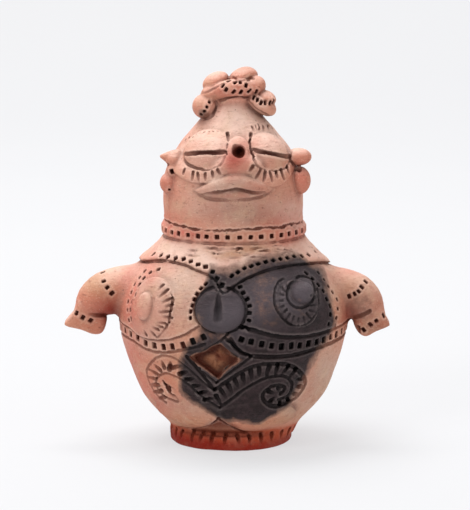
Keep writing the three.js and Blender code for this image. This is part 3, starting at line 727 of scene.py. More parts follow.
def carve_belly():
    recess(DIAMOND, DIAMOND_DEPTH, 0.25)
    for _ in range(12):
        x, z, way = RNG.uniform(-6.5, -1.5), RNG.uniform(24.5, 29.0), RNG.uniform(0, math.pi)
        step = 1.1 * np.array([math.cos(way), math.sin(way)])
        line_cut([(x - step[0], z - step[1]), (x + step[0], z + step[1])], 0.7, 0.4, lift=(0.3, 0.0, 0.3))
    line_cut([(-11.4, 27.4), (-8, 23.4), (-4.4, 18.3)], 1.5, 1.1)
    line_cut([(-4.4, 18.3), (-1.6, 20.6), (1.6, 22.8), (4.2, 24.5), (7.6, 25.5), (10.9, 25.6), (14.2, 25.1),
        (16.9, 23.7), (18.9, 21.2), (19.5, 19), (18.7, 17), (16.9, 14.9), (14.3, 13.9), (11.2, 13.4),
        (9, 14.8), (8.3, 16.8), (9.8, 18.6), (11.9, 19.3), (14.1, 18.4), (13, 16.6)], 1.5, 1.1)
    line_cut([(-10.6, 27.4), (-7, 23.2), (-3.8, 20.4)], 0.9, 0.6)
    line_cut([(-3.8, 20.4), (1, 24.4), (5.3, 27.9)], 1.0, 0.7)
    line_cut([(5.3, 27.9), (1.8, 30), (-1.6, 33.2)], 1.1, 0.7)
    line_cut([(-9, 27.6), (-6.2, 29.8), (-2.9, 32), (-0.6, 34.4)], 1.0, 0.6)
    line_cut([(-2.8, 13.4), (1, 16.6), (3.4, 18.6), (8.4, 21.4), (13.1, 21.9), (15.5, 20.4), (16, 18.4),
        (14.8, 16), (12.4, 15.2)], 1.2, 0.8)
    line_cut([(-5, 18.6), (-8.6, 21.8), (-12.3, 25), (-15, 26.7), (-17.6, 26.9), (-19.6, 25.9),
        (-21.4, 23.5), (-22.2, 21.4), (-21.9, 19.2), (-21, 17), (-19.2, 14.6), (-17, 13.2)], 0.9, 0.5)
    line_cut([(-2.8, 13.2), (-4.8, 14.4), (-7.1, 16), (-12.4, 20.4), (-15.9, 21.8), (-17.7, 21.7),
        (-19.6, 19.6), (-19.2, 16.8), (-17, 14.8), (-14, 14)], 1.0, 0.6)
    wedge = dict(width=1.7, depth=1.7, lift=(0.0, 0.7), grow=(1.0, 0.5), dark=0.5)
    ticks([(-5.4, 15.8), (-9, 19.6), (-12.6, 23), (-14.2, 24.2)], 6, 2.6, slant=-0.5, **wedge)
    ticks([(-15.8, 24.4), (-17.8, 24.4), (-20, 22.6), (-20.7, 19.6), (-19.9, 16.6), (-18.2, 14.4)], 8, 2.4,
        **wedge)
    ticks([(-3.2, 15.4), (-1.1, 17.9), (2.9, 21.2), (8.1, 23.4), (13, 23.5), (16, 22.2)], 11, 3.0,
        slant=-0.25, **wedge)
    ticks([(17.7, 20.4), (17.4, 17.6), (15.7, 15.6), (13, 14.4), (10.6, 15.6), (10.8, 17.6), (12.6, 18)], 8,
        1.5, **wedge)
    (point,), (normal,) = on_front((-16.3, 17.3))
    ellipsoid(point, (1.1, 1.5, 2.3), skin_axes(normal), 0.15, cut=True)
    marks([((-17.8, 19.4), (-13.6, 14.2)), ((-17.4, 18.8), (-14.4, 17.4)), ((-17.2, 18.6), (-15.2, 15.2))],
        1.0, 0.8)


LEFT_LID = [(-12.4, 78.4), (-11.7, 76.5), (-9.2, 75.4), (-5.6, 75.2), (-2.9, 76.5), (-1.5, 78.6)]
RIGHT_LID = [(5.8, 78.4), (7, 76.2), (9, 75.2), (11.7, 74.6), (14.4, 75.2), (15.5, 77), (15.7, 78.6)]
LASHES = [
    ((-9.85, 74.4), (-10.1, 72.3)), ((-8.6, 74.2), (-8.4, 72.1)), ((-6.65, 74.3), (-6.65, 72.5)),
    ((-4.8, 74.7), (-4.6, 73.3)), ((-3.45, 75.4), (-2.8, 74.3)), ((-12.1, 74.8), (-12.5, 73.6)),
    ((5.8, 76.4), (4.9, 75.2)), ((7.7, 75.4), (6.5, 73.3)), ((9, 74.7), (8.5, 72.4)),
    ((10.3, 74.4), (10.8, 72.2)), ((11.7, 74.4), (12.2, 73)), ((13, 74.8), (13.9, 72.4)),
    ((14.5, 75.4), (15.4, 73.3)), ((15.6, 76.4), (16.3, 75.4)),
]
BROW = [((5.5, 85.4), (6.1, 84.2)), ((6.4, 85.7), (6.9, 84.4)), ((7.1, 85.9), (7.5, 84.8))]


def carve_face():
    for eye in EYES:
        slit, normals = on_front(even(eye["slit"], 16))
        stroke(slit, normals, SLIT_WIDTH, SLIT_DEPTH, burr=0.2, lift=(0.5, 0.1, 0.1, 0.5), grow=(0.7, 1, 1, 0.7))
    for lid in (LEFT_LID, RIGHT_LID):
        line_cut(lid, 0.8, 0.6, burr=0.15, lift=(0.2, 0, 0, 0.3), wobble=0.5, sway=0.25)
    marks([((-0.9, 84), (-0.7, 82.2)), ((5.2, 83.8), (5, 82.2))], 1.2, 1.2, lift=(0, 0.5), dark=0.3,
        burr=0.2)
    line_cut([(-0.7, 82.2), (-1.2, 80.6), (-1.2, 79)], 0.7, 0.4, wobble=0.6, sway=0.3, burr=0.2)
    line_cut([(5.1, 82.4), (4.8, 81), (5.3, 79.2), (5.8, 78.2)], 1.0, 0.7, wobble=0.6, sway=0.3, burr=0.25)
    marks(LASHES, 1.1, 1.1, lift=(0, 0.4), grow=(1, 0.7), burr=0.12, dark=0.4)
    marks(BROW, 0.8, 0.5, burr=0.25)
    dots([(-11.8, 81.4), (-9.4, 83.2), (-6.4, 84.4), (-3.4, 84.4)], 9, (1.1, 0.7), 0.5, jitter=0.4)
    ticks([(7.4, 84.6), (11.2, 84.8), (13.8, 83), (15.6, 80)], 10, 1.2, 0.8, 0.7)
    mouth = [(-7.4, 68.8), (-3.5, 69.6), (-0.5, 70.2), (1.6, 70.5), (3.5, 70.1), (5.8, 69.5), (8.6, 69.3)]
    line_cut(mouth, 1.1, 1.3, burr=0.0, lift=(0.8, 0.1, 0, 0.1, 0.8), wobble=0.2, dark=0.3)
    chin = [(-9.8, 69.4), (-7.4, 68.3), (-5.2, 67.7), (-1.6, 67.5), (3.7, 67.6), (7.7, 68.2), (9.6, 69),
        (11.1, 69.9)]
    line_cut(chin, 1.2, 0.6, burr=0.0, lift=(0.3, 0, 0.2, 0, 0.3), wobble=0.2)
    (point,), _ = on_front(NOSE_PIT)
    ahead = np.array([[1.0, 0, 0], [0, 0, 1.0], [0, -1.0, 0]])
    ellipsoid(point, (2.7, 2.7, 3.4), ahead, 0.4, cut=True)
    ellipsoid(point + np.array([0.5, 0, -0.8]), (1.9, 1.9, 6.0), ahead, 0.3, cut=True)
    ellipsoid(point + np.array([-1.3, 0, 1.4]), (1.3, 1.5, 3.0), ahead, 0.3, cut=True)
    # Painted shade deep in the nose pit.
    cuts, (x, y, z) = clay.around(point, 6)
    far = np.sqrt((x - point[0] - 0.4) ** 2 + (z - point[2] + 0.4) ** 2)
    pit_shade[cuts] = np.maximum(pit_shade[cuts], 0.9 * smoothstep(2.6, 1.6, far) * smoothstep(0.4, 1.6, y - point[1]))


def carve_ears():
    """A hole and two folds, punched in the lobes that stand before the sides of the head."""
    for place, size, deep in (((-15.5, 73.7), (1.5, 2.0), 2.6), ((-16.1, 68.9), (0.9, 1.2), 1.2)):
        (point,), (normal,) = on_front(place)
        punch(point, normal, np.array([1.0, 0, 0.3]), size, deep)
    marks([((17, 74.2), (20.6, 75))], 1.4, 1.8, lift=(0, 0.3), dark=0.4)
    marks([((-16.6, 75.4), (-18.6, 74.8))], 1.2, 0.8, lift=(0, 0.3))


def carve_arms():
    size = (1.5, 1.9)
    dots([(-34.2, 45.7), (-33.9, 44.6), (-33, 42.8), (-31.4, 40.9)], 4, size, 1.5)
    dots([(31.4, 40.2), (32.5, 40.6), (33.7, 41.2), (34.8, 42.4), (35.7, 43.6)], 5, size, 1.5)
    dots([(-41.2, 35.1), (-39.7, 34.4), (-37.4, 33.2)], 3, (1.6, 2), 1.5)
    dots([(35.1, 30.8), (37.3, 32.4), (39.3, 33.7), (40.6, 34.4)], 4, (1.6, 2), 1.5)
    for arm in ARMS:
        line_cut(arm["crease"], 1.5, 1.1, burr=0.0, lift=(0.7, 0.0, 0.0))


STAMPS = [
    (-0.6, 97.2), (1.3, 96.9), (2.5, 97), (4.5, 97.3), (-2.1, 96), (4, 96.2), (-1.3, 95), (0.7, 94.4),
    (2.6, 94.3), (4.9, 94.7), (6.6, 94.2), (6, 92.8), (7, 92.3), (8, 91.6), (9, 91.5), (10.2, 91.4),
    (11.1, 91.5),
]
KNOB_STAMPS = [(-5.6, 91.6), (-6.3, 90.3), (-6.9, 89.2), (-7.8, 88.3)]


def carve_hair():
    slant = np.array([0.45, 0, 0.9])
    for places, size in ((STAMPS, (2.1, 1.3)), (KNOB_STAMPS, (1.4, 1.3))):
        for found, normal in zip(*on_front(places)):
            punch(found, normal, unit(slant + RNG.uniform(-0.4, 0.4, 3)), size, 1.7, burr=0.22)
    rough = dict(lift=(0.3, 0.0, 0.3), wobble=0.6, sway=0.3)
    line_cut([(-7.6, 93.6), (-5, 94.8), (-1.8, 96.8)], 0.8, 0.4, burr=0.0, **rough)
    line_cut([(0.4, 97.6), (3, 97.4), (6, 97.6)], 0.9, 0.5, burr=0.1, **rough)
    line_cut([(-3, 91.8), (-0.4, 92.8), (2.4, 93.2), (5, 92.4)], 1.0, 0.8, burr=0.15, **rough)
    line_cut([(4.6, 92), (6.6, 90), (10.2, 87.6)], 0.9, 0.7, burr=0.1, **rough)
    line_cut([(-4.2, 91.4), (-4, 89.6), (-5.2, 87.6), (-7.2, 86.6)], 0.8, 0.5, burr=0.15, **rough)


carve_foot()
carve_lobes()
carve_collar()
carve_yoke()
carve_chest()
carve_belts()
carve_belly()
carve_face()
carve_ears()
carve_arms()
carve_hair()
clay.field = np.maximum(clay.field, (GROUND_GAP - Z).astype(np.float32))


# From the block of clay to a mesh

def surface_nets(block):
    """Vertices in millimetres and four-cornered faces of the block's zero surface."""
    f = block.field
    inside = f < 0
    nx, ny, nz = [n - 1 for n in f.shape]
    count = np.zeros((nx, ny, nz), np.uint8)
    corners = [(i, j, k) for i in (0, 1) for j in (0, 1) for k in (0, 1)]
    for i, j, k in corners:
        count += inside[i:i + nx, j:j + ny, k:k + nz]
    cells = np.argwhere((count > 0) & (count < 8))
    del count
    ids = np.full((nx, ny, nz), -1, np.int32)
    ids[tuple(cells.T)] = np.arange(len(cells))
    values = [f[cells[:, 0] + i, cells[:, 1] + j, cells[:, 2] + k] for i, j, k in corners]
    total = np.zeros((len(cells), 3))
    hits = np.zeros(len(cells))
    for a, ca in enumerate(corners):
        for b, cb in enumerate(corners):
            if b <= a or sum(abs(p - q) for p, q in zip(ca, cb)) != 1:
                continue
            crossing = (values[a] < 0) != (values[b] < 0)
            t = np.where(crossing, values[a] / np.where(crossing, values[a] - values[b], 1), 0)
            spot = np.array(ca) + t[:, None] * (np.array(cb) - np.array(ca))
            total += np.where(crossing[:, None], spot, 0)
            hits += crossing
    points = block.low + (cells + total / hits[:, None]) * block.step

    faces = []
    for axis in range(3):
        u, v = [(1, 2), (2, 0), (0, 1)][axis]
        near = [slice(None)] * 3
        far = [slice(None)] * 3
        near[axis], far[axis] = slice(0, -1), slice(1, None)
        a, b = inside[tuple(near)], inside[tuple(far)]
        spots = np.argwhere(a != b)
        spots = spots[(spots[:, u] > 0) & (spots[:, v] > 0)]
        spots = spots[(spots[:, u] < f.shape[u] - 1) & (spots[:, v] < f.shape[v] - 1)]
        leaving = a[tuple(spots.T)]
        quad = []
        for du, dv in ((-1, -1), (0, -1), (0, 0), (-1, 0)):
            cell = spots.copy()
            cell[:, u] += du
            cell[:, v] += dv
            quad.append(ids[tuple(cell.T)])
        quad = np.stack(quad, 1)
        quad[~leaving] = quad[~leaving][:, ::-1]
        faces.append(quad)
    return points, np.vstack(faces)


def mesh_from(name, points, faces):
    mesh = bpy.data.meshes.new(name)
    mesh.vertices.add(len(points))
    mesh.vertices.foreach_set("co", np.asarray(points, np.float32).ravel())
    mesh.loops.add(faces.size)
    mesh.loops.foreach_set("vertex_index", faces.astype(np.int32).ravel())
    mesh.polygons.add(len(faces))
    mesh.polygons.foreach_set("loop_start", np.arange(0, faces.size, faces.shape[1], dtype=np.int32))
    mesh.update(calc_edges=True)
    return mesh


points, faces = surface_nets(clay)
for _ in range(2):
    points -= clay.normals(points, 0.3) * clay.sample(points)[:, None] * 0.8
points[:, 2] = np.maximum(points[:, 2], 0.0)
raw = bpy.data.objects.new("figurine_raw", mesh_from("figurine_raw", points * 0.001, faces))
bpy.context.scene.collection.objects.link(raw)
thin = raw.modifiers.new("thin", "DECIMATE")
thin.ratio = min(1.0, MAX_FACES / (2 * len(faces)))
depsgraph = bpy.context.evaluated_depsgraph_get()
mesh = bpy.data.meshes.new_from_object(raw.evaluated_get(depsgraph))
mesh.name = "dogu_figurine"
bpy.data.objects.remove(raw)
figurine = bpy.data.objects.new("dogu_figurine", mesh)
bpy.context.scene.collection.objects.link(figurine)
mesh.polygons.foreach_set("use_smooth", np.ones(len(mesh.polygons), bool))


# Firing colours, with painted light and shade, on the vertices

def srgb(r, g, b):
    """A colour given in 0 to 255 display values, as the renderer's linear values."""
    linear = [(v / 255 / 12.92) if v <= 10 else ((v / 255 + 0.055) / 1.055) ** 2.4 for v in (r, g, b)]
    return (*linear, 1.0)


co = np.empty(len(mesh.vertices) * 3, np.float32)
mesh.vertices.foreach_get("co", co)
co = co.reshape(-1, 3) * 1000.0
px, py, pz = co[:, 0] / P, co[:, 1] / P, co[:, 2] / P
out = clay.normals(co, 1.2, uncut)
fine_out = clay.normals(co, 0.5)
front = np.maximum(smoothstep(-0.25, 0.25, -out[:, 1]), smoothstep(-10.0, -17.0, py))
depth = np.clip(-clay.sample(co, uncut), 0, 3)


def hollow(reach):
    """How far the clay closes in on a point of the skin, from 0 on the flat to 1 in a pit."""
    return np.clip(1 - clay.sample(co + fine_out * reach) / reach, 0, 1)


def ridge(reach):
    """How sharp an edge is, from 0 on the flat."""
    return np.clip(1 + clay.sample(co - fine_out * reach) / reach, 0, 1)


wander = [clay.sample(co, lattice_noise(clay.axes, cell, RNG)) for cell in (16, 6, 2.5)]
wx = px + 0.9 * wander[0] + 0.7 * wander[1] + 0.35 * wander[2]
wz = pz - 0.9 * wander[0] + 0.7 * wander[1] - 0.35 * wander[2]


def patch(x, z, a, b):
    """A soft oval patch about a place seen from the front."""
    return np.exp(-((wx - x) / a) ** 2 - ((wz - z) / b) ** 2)


def inside_outline(outline, soft):
    return 1 - smoothstep(-soft, soft, polygon_distance(outline, wx, wz))


CLAY = srgb(206, 138, 110)
PALE = srgb(234, 202, 186)
SAND = srgb(190, 164, 146)
ROSE = srgb(206, 110, 94)
OCHRE = srgb(184, 138, 100)
BRICK = srgb(134, 28, 12)
EMBER = srgb(100, 52, 34)
ASH = srgb(140, 122, 110)

# Colour, strength, place and half sizes, in hundredths, on the front of the figurine
FRONT_PATCHES = [
    # The pale patch at (0, 88) on the upper forehead is painted highlight, where the head tilts up to the light.
    (PALE, 0.45, -4, 72, 13, 14), (PALE, 0.35, 0, 88, 8, 5), (SAND, 0.9, -11, 43, 11, 8),
    (PALE, 0.8, -2, 53, 17, 3), (SAND, 0.8, 19, 14, 8, 9), (SAND, 0.7, -14, 12.5, 9, 4),
    (PALE, 0.5, -19, 29, 7, 4), (SAND, 0.7, 25, 21, 5, 8), (PALE, 0.4, -20, 38, 6, 7),
    (PALE, 0.5, -12, 54, 8, 2.5), (PALE, 0.6, 16, 53.5, 6, 2), (ASH, 0.6, 2, 65, 11, 3),
    (ASH, 0.55, 9, 62.5, 7, 2.5), (ASH, 0.25, -2, 69, 7, 1.4), (SAND, 0.9, 1, 72.2, 8, 2.4),
    (PALE, 0.4, -7, 81, 5, 4), (PALE, 0.7, 10.4, 80, 5, 4), (ROSE, 0.8, 2, 78.5, 4, 4.4),
    (BRICK, 0.75, 2.2, 78.2, 3.4, 2.8), (OCHRE, 0.6, -13, 8, 7, 2.6), (OCHRE, 0.6, 14, 8.5, 8, 2.6),
    (OCHRE, 0.4, -14, 26, 6, 5), (ROSE, 0.45, -19, 50, 5, 2), (ROSE, 0.8, -26, 40, 2.6, 8),
    (ROSE, 0.6, -21, 47, 3, 2.4), (OCHRE, 0.5, 30, 41.5, 5, 5), (SAND, 0.6, 25, 45, 4, 6),
    (BRICK, 0.35, 1.6, 68.6, 8, 1), (BRICK, 0.25, -13, 57.6, 8, 1.6), (OCHRE, 0.8, 3, 54.4, 10, 1.1),
]
# The same, seen from the front but through to the back
ROUND_PATCHES = [
    (ROSE, 0.85, -27, 20, 6, 12), (ROSE, 0.35, -16, 60, 6, 3), (ROSE, 0.6, 15, 60.5, 6, 4),
    (ROSE, 0.95, -15, 57.6, 9, 1.8), (ROSE, 0.8, 17, 57.6, 5, 1.8), (PALE, 0.4, -30, 27, 3, 6),
    # The brick patches under the arms are partly the clay's deep red, partly painted shade where the arms shade
    # the body.
    (OCHRE, 0.7, -36, 41.5, 5, 4.5), (BRICK, 0.95, -32, 35, 3.8, 4.2), (BRICK, 0.4, -35, 34.4, 2.6, 1),
    (BRICK, 0.75, 30.8, 34.5, 2.8, 4), (BRICK, 0.5, 34, 35, 3.4, 1.6), (ROSE, 0.5, -17, 72, 2.8, 5),
    (ROSE, 0.6, 19, 72, 2.8, 5), (ROSE, 0.5, 0, 95, 7, 4), (BRICK, 0.2, -7.5, 88.6, 2.8, 2.2),
    (BRICK, 0.2, 1, 94.6, 6, 1.2), (OCHRE, 0.5, 28, 12, 6, 6), (ASH, 0.45, 35, 39, 6, 5),
    # The pale patch at (1, 86) on the forehead is painted highlight, where the head tilts up to the light.
    (ROSE, 0.4, -37, 37, 5, 4), (EMBER, 0.65, 38, 31, 4, 3), (PALE, 0.8, 1, 86, 7, 4.5),
    (ROSE, 0.35, 30, 46, 5, 2), (ROSE, 0.5, -22, 12, 6, 4), (PALE, 0.5, 16, 63.5, 4, 4),
]

tint = np.tile(np.array(CLAY[:3]), (len(co), 1))


def paint(colour, weight):
    tint[:] += (np.array(colour[:3]) - tint) * np.clip(weight, 0, 1)[:, None]


# Painted light: faces that point up are painted paler, as if lit from above.
paint(PALE, 0.75 * smoothstep(0.15, 0.95, out[:, 2]))
for colour, strength, *shape in FRONT_PATCHES:
    paint(colour, strength * patch(*shape) * front)
for colour, strength, *shape in ROUND_PATCHES:
    paint(colour, strength * patch(*shape))
diamond = inside_outline(DIAMOND, 0.35) * front
foot_red = smoothstep(6.2, 4.6, pz + 0.4 * wander[1])
paint(srgb(168, 62, 28), 0.9 * foot_red)
paint(BRICK, foot_red * smoothstep(4.2, 1.6, pz + 0.5 * wander[1] + 0.04 * px))
paint(srgb(126, 62, 40), 0.85 * inside_outline([(-3.2, 10.4), (-7.4, 6.4), (2.4, 6.2)], 0.6) * front)
paint(EMBER, 0.95 * diamond)
paint(srgb(156, 104, 74), 0.6 * diamond * smoothstep(0.0, 0.7, wander[2]))
# Painted shadow: darker along the inside of the diamond's edges, where its walls shade the floor.
paint(srgb(52, 24, 17), 0.8 * diamond * smoothstep(-2.4, -0.9, polygon_distance(DIAMOND, px, pz)))

SMOKE = [
    (-6.9, 52), (-1, 52.6), (5, 53.8), (11.2, 54.9), (15.7, 54.8), (18.6, 53), (21.6, 50), (24.4, 47.8),
    (26.4, 44.4), (27.4, 40.3), (27.2, 34), (25.8, 30), (23.2, 26.6), (20.8, 23.4), (19.2, 20.4), (18, 17),
    (15.8, 13.4), (12.2, 10.6), (7.7, 8.3), (-1.6, 8.5), (-4.6, 11), (-7, 12), (-11.2, 13.6), (-13.4, 17),
    (-13.6, 20), (-13, 24.5), (-11.4, 28.4), (-10.8, 31), (-8.6, 34), (-8.4, 39.5), (-7.6, 45),
]
spread = 1 + 0.7 * smoothstep(14.0, 20.0, px) * smoothstep(36.0, 30.0, pz)
smoke = 1 - smoothstep(-2.2, 0.9, polygon_distance(SMOKE, wx, wz) / spread)
smoke *= 1 - np.clip(0.3 * patch(8.0, 45.0, 4.5, 5.0) + 0.55 * patch(1.0, 52.5, 6.5, 2.8)
                     + 0.45 * patch(14.0, 53.0, 10.0, 1.8) + 0.4 * patch(9.0, 54.0, 4.0, 1.8) + 0.3 * patch(-3.0, 33.4, 5.0, 1.8), 0, 1)
disc = smoothstep(1.1, 0.98, np.hypot((px + 2.7) / 6.5, (pz - 40.2) / 5.9)) * smoothstep(-20.0, -22.0, py)
smoke = np.maximum(smoke, disc * (0.8 + 0.2 * smoothstep(-9.0, -5.0, px))) * front * (1 - 0.95 * diamond)
# Painted highlight: the soot is thinned on the top of the right nipple.
smoke *= 1 - 0.15 * patch(17.6, 44.6, 1.7, 1.5)
smoke = np.maximum(smoke, 0.5 * patch(-7.8, 88.6, 1.6, 1.6))
smoke = np.maximum(smoke, 0.32 * patch(34.0, 37.0, 5.0, 5.0))

# Measures for painted light and shade: close and wide darken hollows and creases as painted shade; edge lightens
# sharp rims.
close, wide, edge = hollow(0.9), hollow(3.5), ridge(0.7)
# Painted shade in tool marks: the deeper below the skin, the darker (the diamond's floor is left out).
depth = np.maximum(depth - (DIAMOND_DEPTH + 0.2) * diamond, 0)
dark = np.maximum(np.clip(depth / 2.4, 0, 1), clay.sample(co, pit_shade))
# Lighter rims on sharp edges: partly rubbed wear, partly painted highlight; none in the diamond.
edge = edge * (1 - diamond)
deep = np.clip(foot_red + diamond + patch(-32.0, 35.0, 3.6, 4.0) + patch(31.0, 34.5, 3.2, 4.0)
               + patch(2.2, 78.2, 3.4, 3.0), 0, 1)
attributes = dict(smoke=smoke, cut=dark, deep=deep, crease=np.clip(close * 1.3, 0, 1),
                  shade=np.clip(wide * 1.2, 0, 1), edge=np.clip(edge * 1.5, 0, 1),
                  # The grey of the soot on the pendant and chest, and a painted highlight on the upper right of
                  # the right nipple.
                  steel_and_highlight=np.clip(patch(-2.7, 39.5, 6.5, 6.0) + 0.7 * patch(18.2, 43.5, 4.5, 4.5)
                                + 0.8 * patch(10.0, 43.5, 8.0, 7.0)
                                + 0.6 * patch(19.6, 45.4, 1.8, 1.8), 0, 1))
for name, values in attributes.items():
    layer = mesh.attributes.new(name, "FLOAT", "POINT")
    layer.data.foreach_set("value", np.asarray(values, np.float32))
layer = mesh.attributes.new("tint", "FLOAT_COLOR", "POINT")
layer.data.foreach_set("color", np.hstack([tint, np.ones((len(co), 1))]).astype(np.float32).ravel())


# Fired clay

class Nodes:
    """Short calls that add shader nodes and link them."""

    def __init__(self, material):
        material.use_nodes = True
        self.tree = material.node_tree
        self.tree.nodes.clear()

    def new(self, kind, **inputs):
        node = self.tree.nodes.new(kind)
        for name, value in inputs.items():
            key = int(name[1:]) if name[0] == "_" else name.replace("_", " ")
            self.set(node.inputs[key], value)
        return node

    def set(self, socket, value):
        if isinstance(value, bpy.types.NodeSocket):
            self.tree.links.new(value, socket)
        else:
            socket.default_value = value

    def value(self, name, output="Fac"):
        node = self.tree.nodes.new("ShaderNodeAttribute")
        node.attribute_name = name
        return node.outputs[output]

    def noise(self, place, scale, detail=4.0, roughness=0.55, distortion=0.0):
        node = self.new("ShaderNodeTexNoise", Vector=place, Scale=scale, Detail=detail,
                        Roughness=roughness, Distortion=distortion)
        return node.outputs["Fac"]

    def math(self, operation, a, b):
        node = self.new("ShaderNodeMath", _0=a, _1=b)
        node.operation = operation
        return node.outputs[0]

    def ramp(self, value, low, high, to_low=0.0, to_high=1.0):
        node = self.new("ShaderNodeMapRange", Value=value, From_Min=low, From_Max=high,
                        To_Min=to_low, To_Max=to_high)
        node.interpolation_type = "SMOOTHSTEP"
        return node.outputs[0]

    def mix(self, amount, a, b):
        node = self.tree.nodes.new("ShaderNodeMix")
        node.data_type = "RGBA"
        self.set(node.inputs[0], amount)
        self.set(node.inputs[6], a)
        self.set(node.inputs[7], b)
        return node.outputs[2]


def fired_clay():
    material = bpy.data.materials.new("fired_clay")
    n = Nodes(material)
    place = n.new("ShaderNodeTexCoord").outputs["Object"]
    broad = n.noise(place, 60.0, 6.0, 0.6)
    fine = n.noise(place, 420.0, 6.0, 0.65)
    grain = n.noise(place, 1600.0, 3.0, 0.6)
    stretch = n.new("ShaderNodeMapping", Vector=place, Scale=(1.0, 1.0, 3.5)).outputs[0]
    brushed = n.noise(stretch, 300.0, 5.0, 0.6, 0.8)
    patchy = n.noise(place, 140.0, 5.0, 0.6, 0.4)
    specks = n.noise(place, 850.0, 2.0, 0.5)
    smoke = n.value("smoke")
    calm = n.ramp(n.value("deep"), 0.0, 1.0, 1.0, 0.2)

    def times(a, b):
        return n.math("MULTIPLY", a, b)

    def blotch(noise, low, high, strength, under, over):
        return n.mix(times(n.ramp(noise, low, high, 0.0, strength), calm), under, over)

    colour = blotch(broad, 0.35, 0.7, 0.4, n.value("tint", "Color"), srgb(186, 102, 78))
    colour = blotch(patchy, 0.48, 0.68, 0.35, colour, srgb(206, 168, 138))
    colour = blotch(fine, 0.52, 0.78, 0.5, colour, srgb(150, 84, 62))
    colour = n.mix(n.ramp(brushed, 0.58, 0.74, 0.0, 0.5), colour, srgb(112, 64, 48))
    colour = blotch(grain, 0.55, 0.75, 0.3, colour, srgb(242, 214, 194))
    colour = n.mix(n.ramp(specks, 0.7, 0.78, 0.0, 0.5), colour, srgb(92, 52, 40))
    # Sharp rims painted lighter: partly rubbed wear, partly painted highlight.
    colour = n.mix(times(times(n.value("edge"), 0.4), calm), colour, srgb(240, 204, 184))

    ragged = n.math("ADD", smoke, n.ramp(broad, 0.25, 0.75, -0.2, 0.2))
    ragged = n.math("ADD", ragged, n.ramp(fine, 0.25, 0.75, -0.12, 0.12))
    ragged = times(ragged, n.ramp(smoke, 0.0, 0.25))
    scorched = n.mix(n.ramp(ragged, 0.05, 0.5, 0.0, 0.75), colour, srgb(112, 84, 72))
    soot = n.mix(n.ramp(fine, 0.3, 0.75), srgb(20, 13, 16), srgb(56, 42, 45))
    # Lighter bluish grey on the soot of the pendant and chest, and a painted highlight on the right nipple.
    soot = n.mix(times(n.value("steel_and_highlight"), 0.7), soot, srgb(98, 90, 96))
    # Sharp crests in the soot painted lighter: partly rubbed wear, partly painted highlight.
    soot = n.mix(times(n.value("edge"), 0.45), soot, srgb(128, 114, 112))
    colour = n.mix(n.ramp(ragged, 0.4, 0.9, 0.0, 0.97), scorched, soot)

    # Painted shade: the shade and crease values from the hollows and the cut value from the tool marks darken
    # the colour towards dark brown, near black on the soot.
    tint = n.mix(n.ramp(smoke, 0.2, 0.6), srgb(78, 28, 16), srgb(14, 9, 10))
    colour = n.mix(times(n.value("shade"), 0.34), colour, tint)
    colour = n.mix(times(n.value("crease"), 0.62), colour, tint)
    colour = n.mix(n.ramp(n.value("cut"), 0.18, 0.85, 0.0, 0.93), colour, tint)

    rough = n.math("ADD", n.ramp(fine, 0.3, 0.7, 0.55, 0.75), times(smoke, -0.16))
    height = n.math("ADD", times(fine, 0.7), times(grain, 0.25))
    height = n.math("ADD", height, times(brushed, 0.7))
    height = n.math("SUBTRACT", height, n.ramp(specks, 0.68, 0.78, 0.0, 0.5))
    bump = n.new("ShaderNodeBump", Strength=0.8, Distance=0.0008, Height=height)
    shader = n.new("ShaderNodeBsdfPrincipled", Base_Color=colour, Roughness=rough,
                   Normal=bump.outputs[0], IOR=1.45)
    shine = times(n.ramp(smoke, 0.2, 0.9, 0.35, 0.2), n.ramp(n.value("deep"), 0.0, 1.0, 1.0, 0.4))
    n.set(shader.inputs["Specular IOR Level"], shine)
    n.new("ShaderNodeOutputMaterial", Surface=shader.outputs[0])
    return material


mesh.materials.clear()
mesh.materials.append(fired_clay())
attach(figurine, "root")
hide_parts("figurine")


# Studio

def paper():
    material = bpy.data.materials.new("paper")
    n = Nodes(material)
    place = n.new("ShaderNodeTexCoord").outputs["Object"]
    tone = n.mix(n.noise(place, 6.0, 3.0), srgb(123, 124, 126), srgb(127, 127, 128))
    shader = n.new("ShaderNodeBsdfPrincipled", Base_Color=tone, Roughness=0.9)
    shader.inputs["Specular IOR Level"].default_value = 0.1
    shader.inputs["Emission Color"].default_value = (0.985, 0.985, 1.0, 1.0)
    shader.inputs["Emission Strength"].default_value = 0.62
    n.new("ShaderNodeOutputMaterial", Surface=shader.outputs[0])
    return material


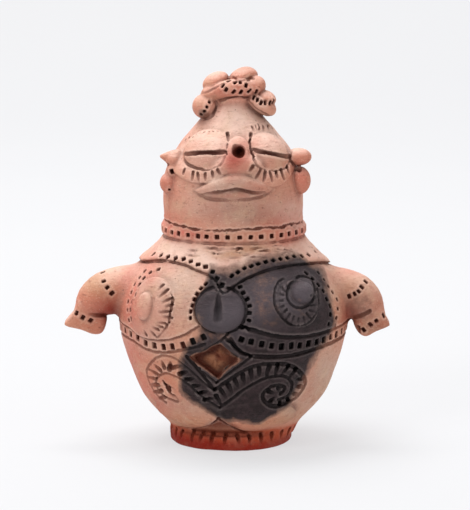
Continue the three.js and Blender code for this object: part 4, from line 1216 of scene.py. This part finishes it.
def sweep():
    """A floor that curves up into a backdrop."""
    half, near, bend, radius, top = 3.0, -2.2, 0.9, 0.6, 2.6
    line = [(near, 0.0), (bend, 0.0)]
    line += [(bend + radius * math.sin(a), radius * (1 - math.cos(a)))
             for a in np.linspace(0.1, math.pi / 2, 14)]
    line += [(bend + radius, top)]
    verts = [(x, y, z) for y, z in line for x in (-half, half)]
    quads = [(2 * k, 2 * k + 1, 2 * k + 3, 2 * k + 2) for k in range(len(line) - 1)]
    floor_mesh = bpy.data.meshes.new("sweep")
    floor_mesh.from_pydata(verts, [], quads)
    floor_mesh.polygons.foreach_set("use_smooth", [True] * len(quads))
    floor_mesh.materials.append(paper())
    floor = bpy.data.objects.new("sweep", floor_mesh)
    bpy.context.scene.collection.objects.link(floor)


def area_light(name, place, aim, size, power):
    light = bpy.data.lights.new(name, "AREA")
    light.shape = "RECTANGLE"
    light.size, light.size_y = size
    light.energy = power
    lamp = bpy.data.objects.new(name, light)
    lamp.location = place
    way = np.array(place) - np.array(aim)
    lamp.rotation_euler = (math.atan2(math.hypot(way[0], way[1]), way[2]), 0, math.atan2(way[0], -way[1]))
    bpy.context.scene.collection.objects.link(lamp)


def studio():
    sweep()
    middle = (0, 0, 0.08)
    area_light("overhead", (-0.25, 0.15, 1.2), middle, (0.9, 0.7), 13.5)
    area_light("left_front", (-0.8, -0.95, 0.85), middle, (0.5, 0.5), 7.2)
    area_light("right_fill", (1.1, -0.6, 0.4), middle, (0.8, 0.8), 3.2)
    area_light("backdrop", (0, 0.5, 1.7), (0, 1.6, 0.5), (1.6, 0.6), 14.0)
    world = bpy.data.worlds.new("studio")
    bpy.context.scene.world = world
    world.use_nodes = True
    world.node_tree.nodes["Background"].inputs[0].default_value = (1, 1, 1, 1)
    world.node_tree.nodes["Background"].inputs[1].default_value = 0.36
    bpy.context.scene.view_settings.view_transform = "Standard"


def camera():
    distance, elevation = 1.2, math.radians(10)
    target = np.array([0.0016, 0.0, 0.075])
    data = bpy.data.cameras.new("camera")
    data.lens = 212.1
    data.sensor_width = 36.0
    data.clip_end = 20.0
    eye = bpy.data.objects.new("camera", data)
    eye.location = target + distance * np.array([0, -math.cos(elevation), math.sin(elevation)])
    eye.rotation_euler = (math.pi / 2 - elevation, 0, 0)
    bpy.context.scene.collection.objects.link(eye)
    bpy.context.scene.camera = eye


studio()
camera()
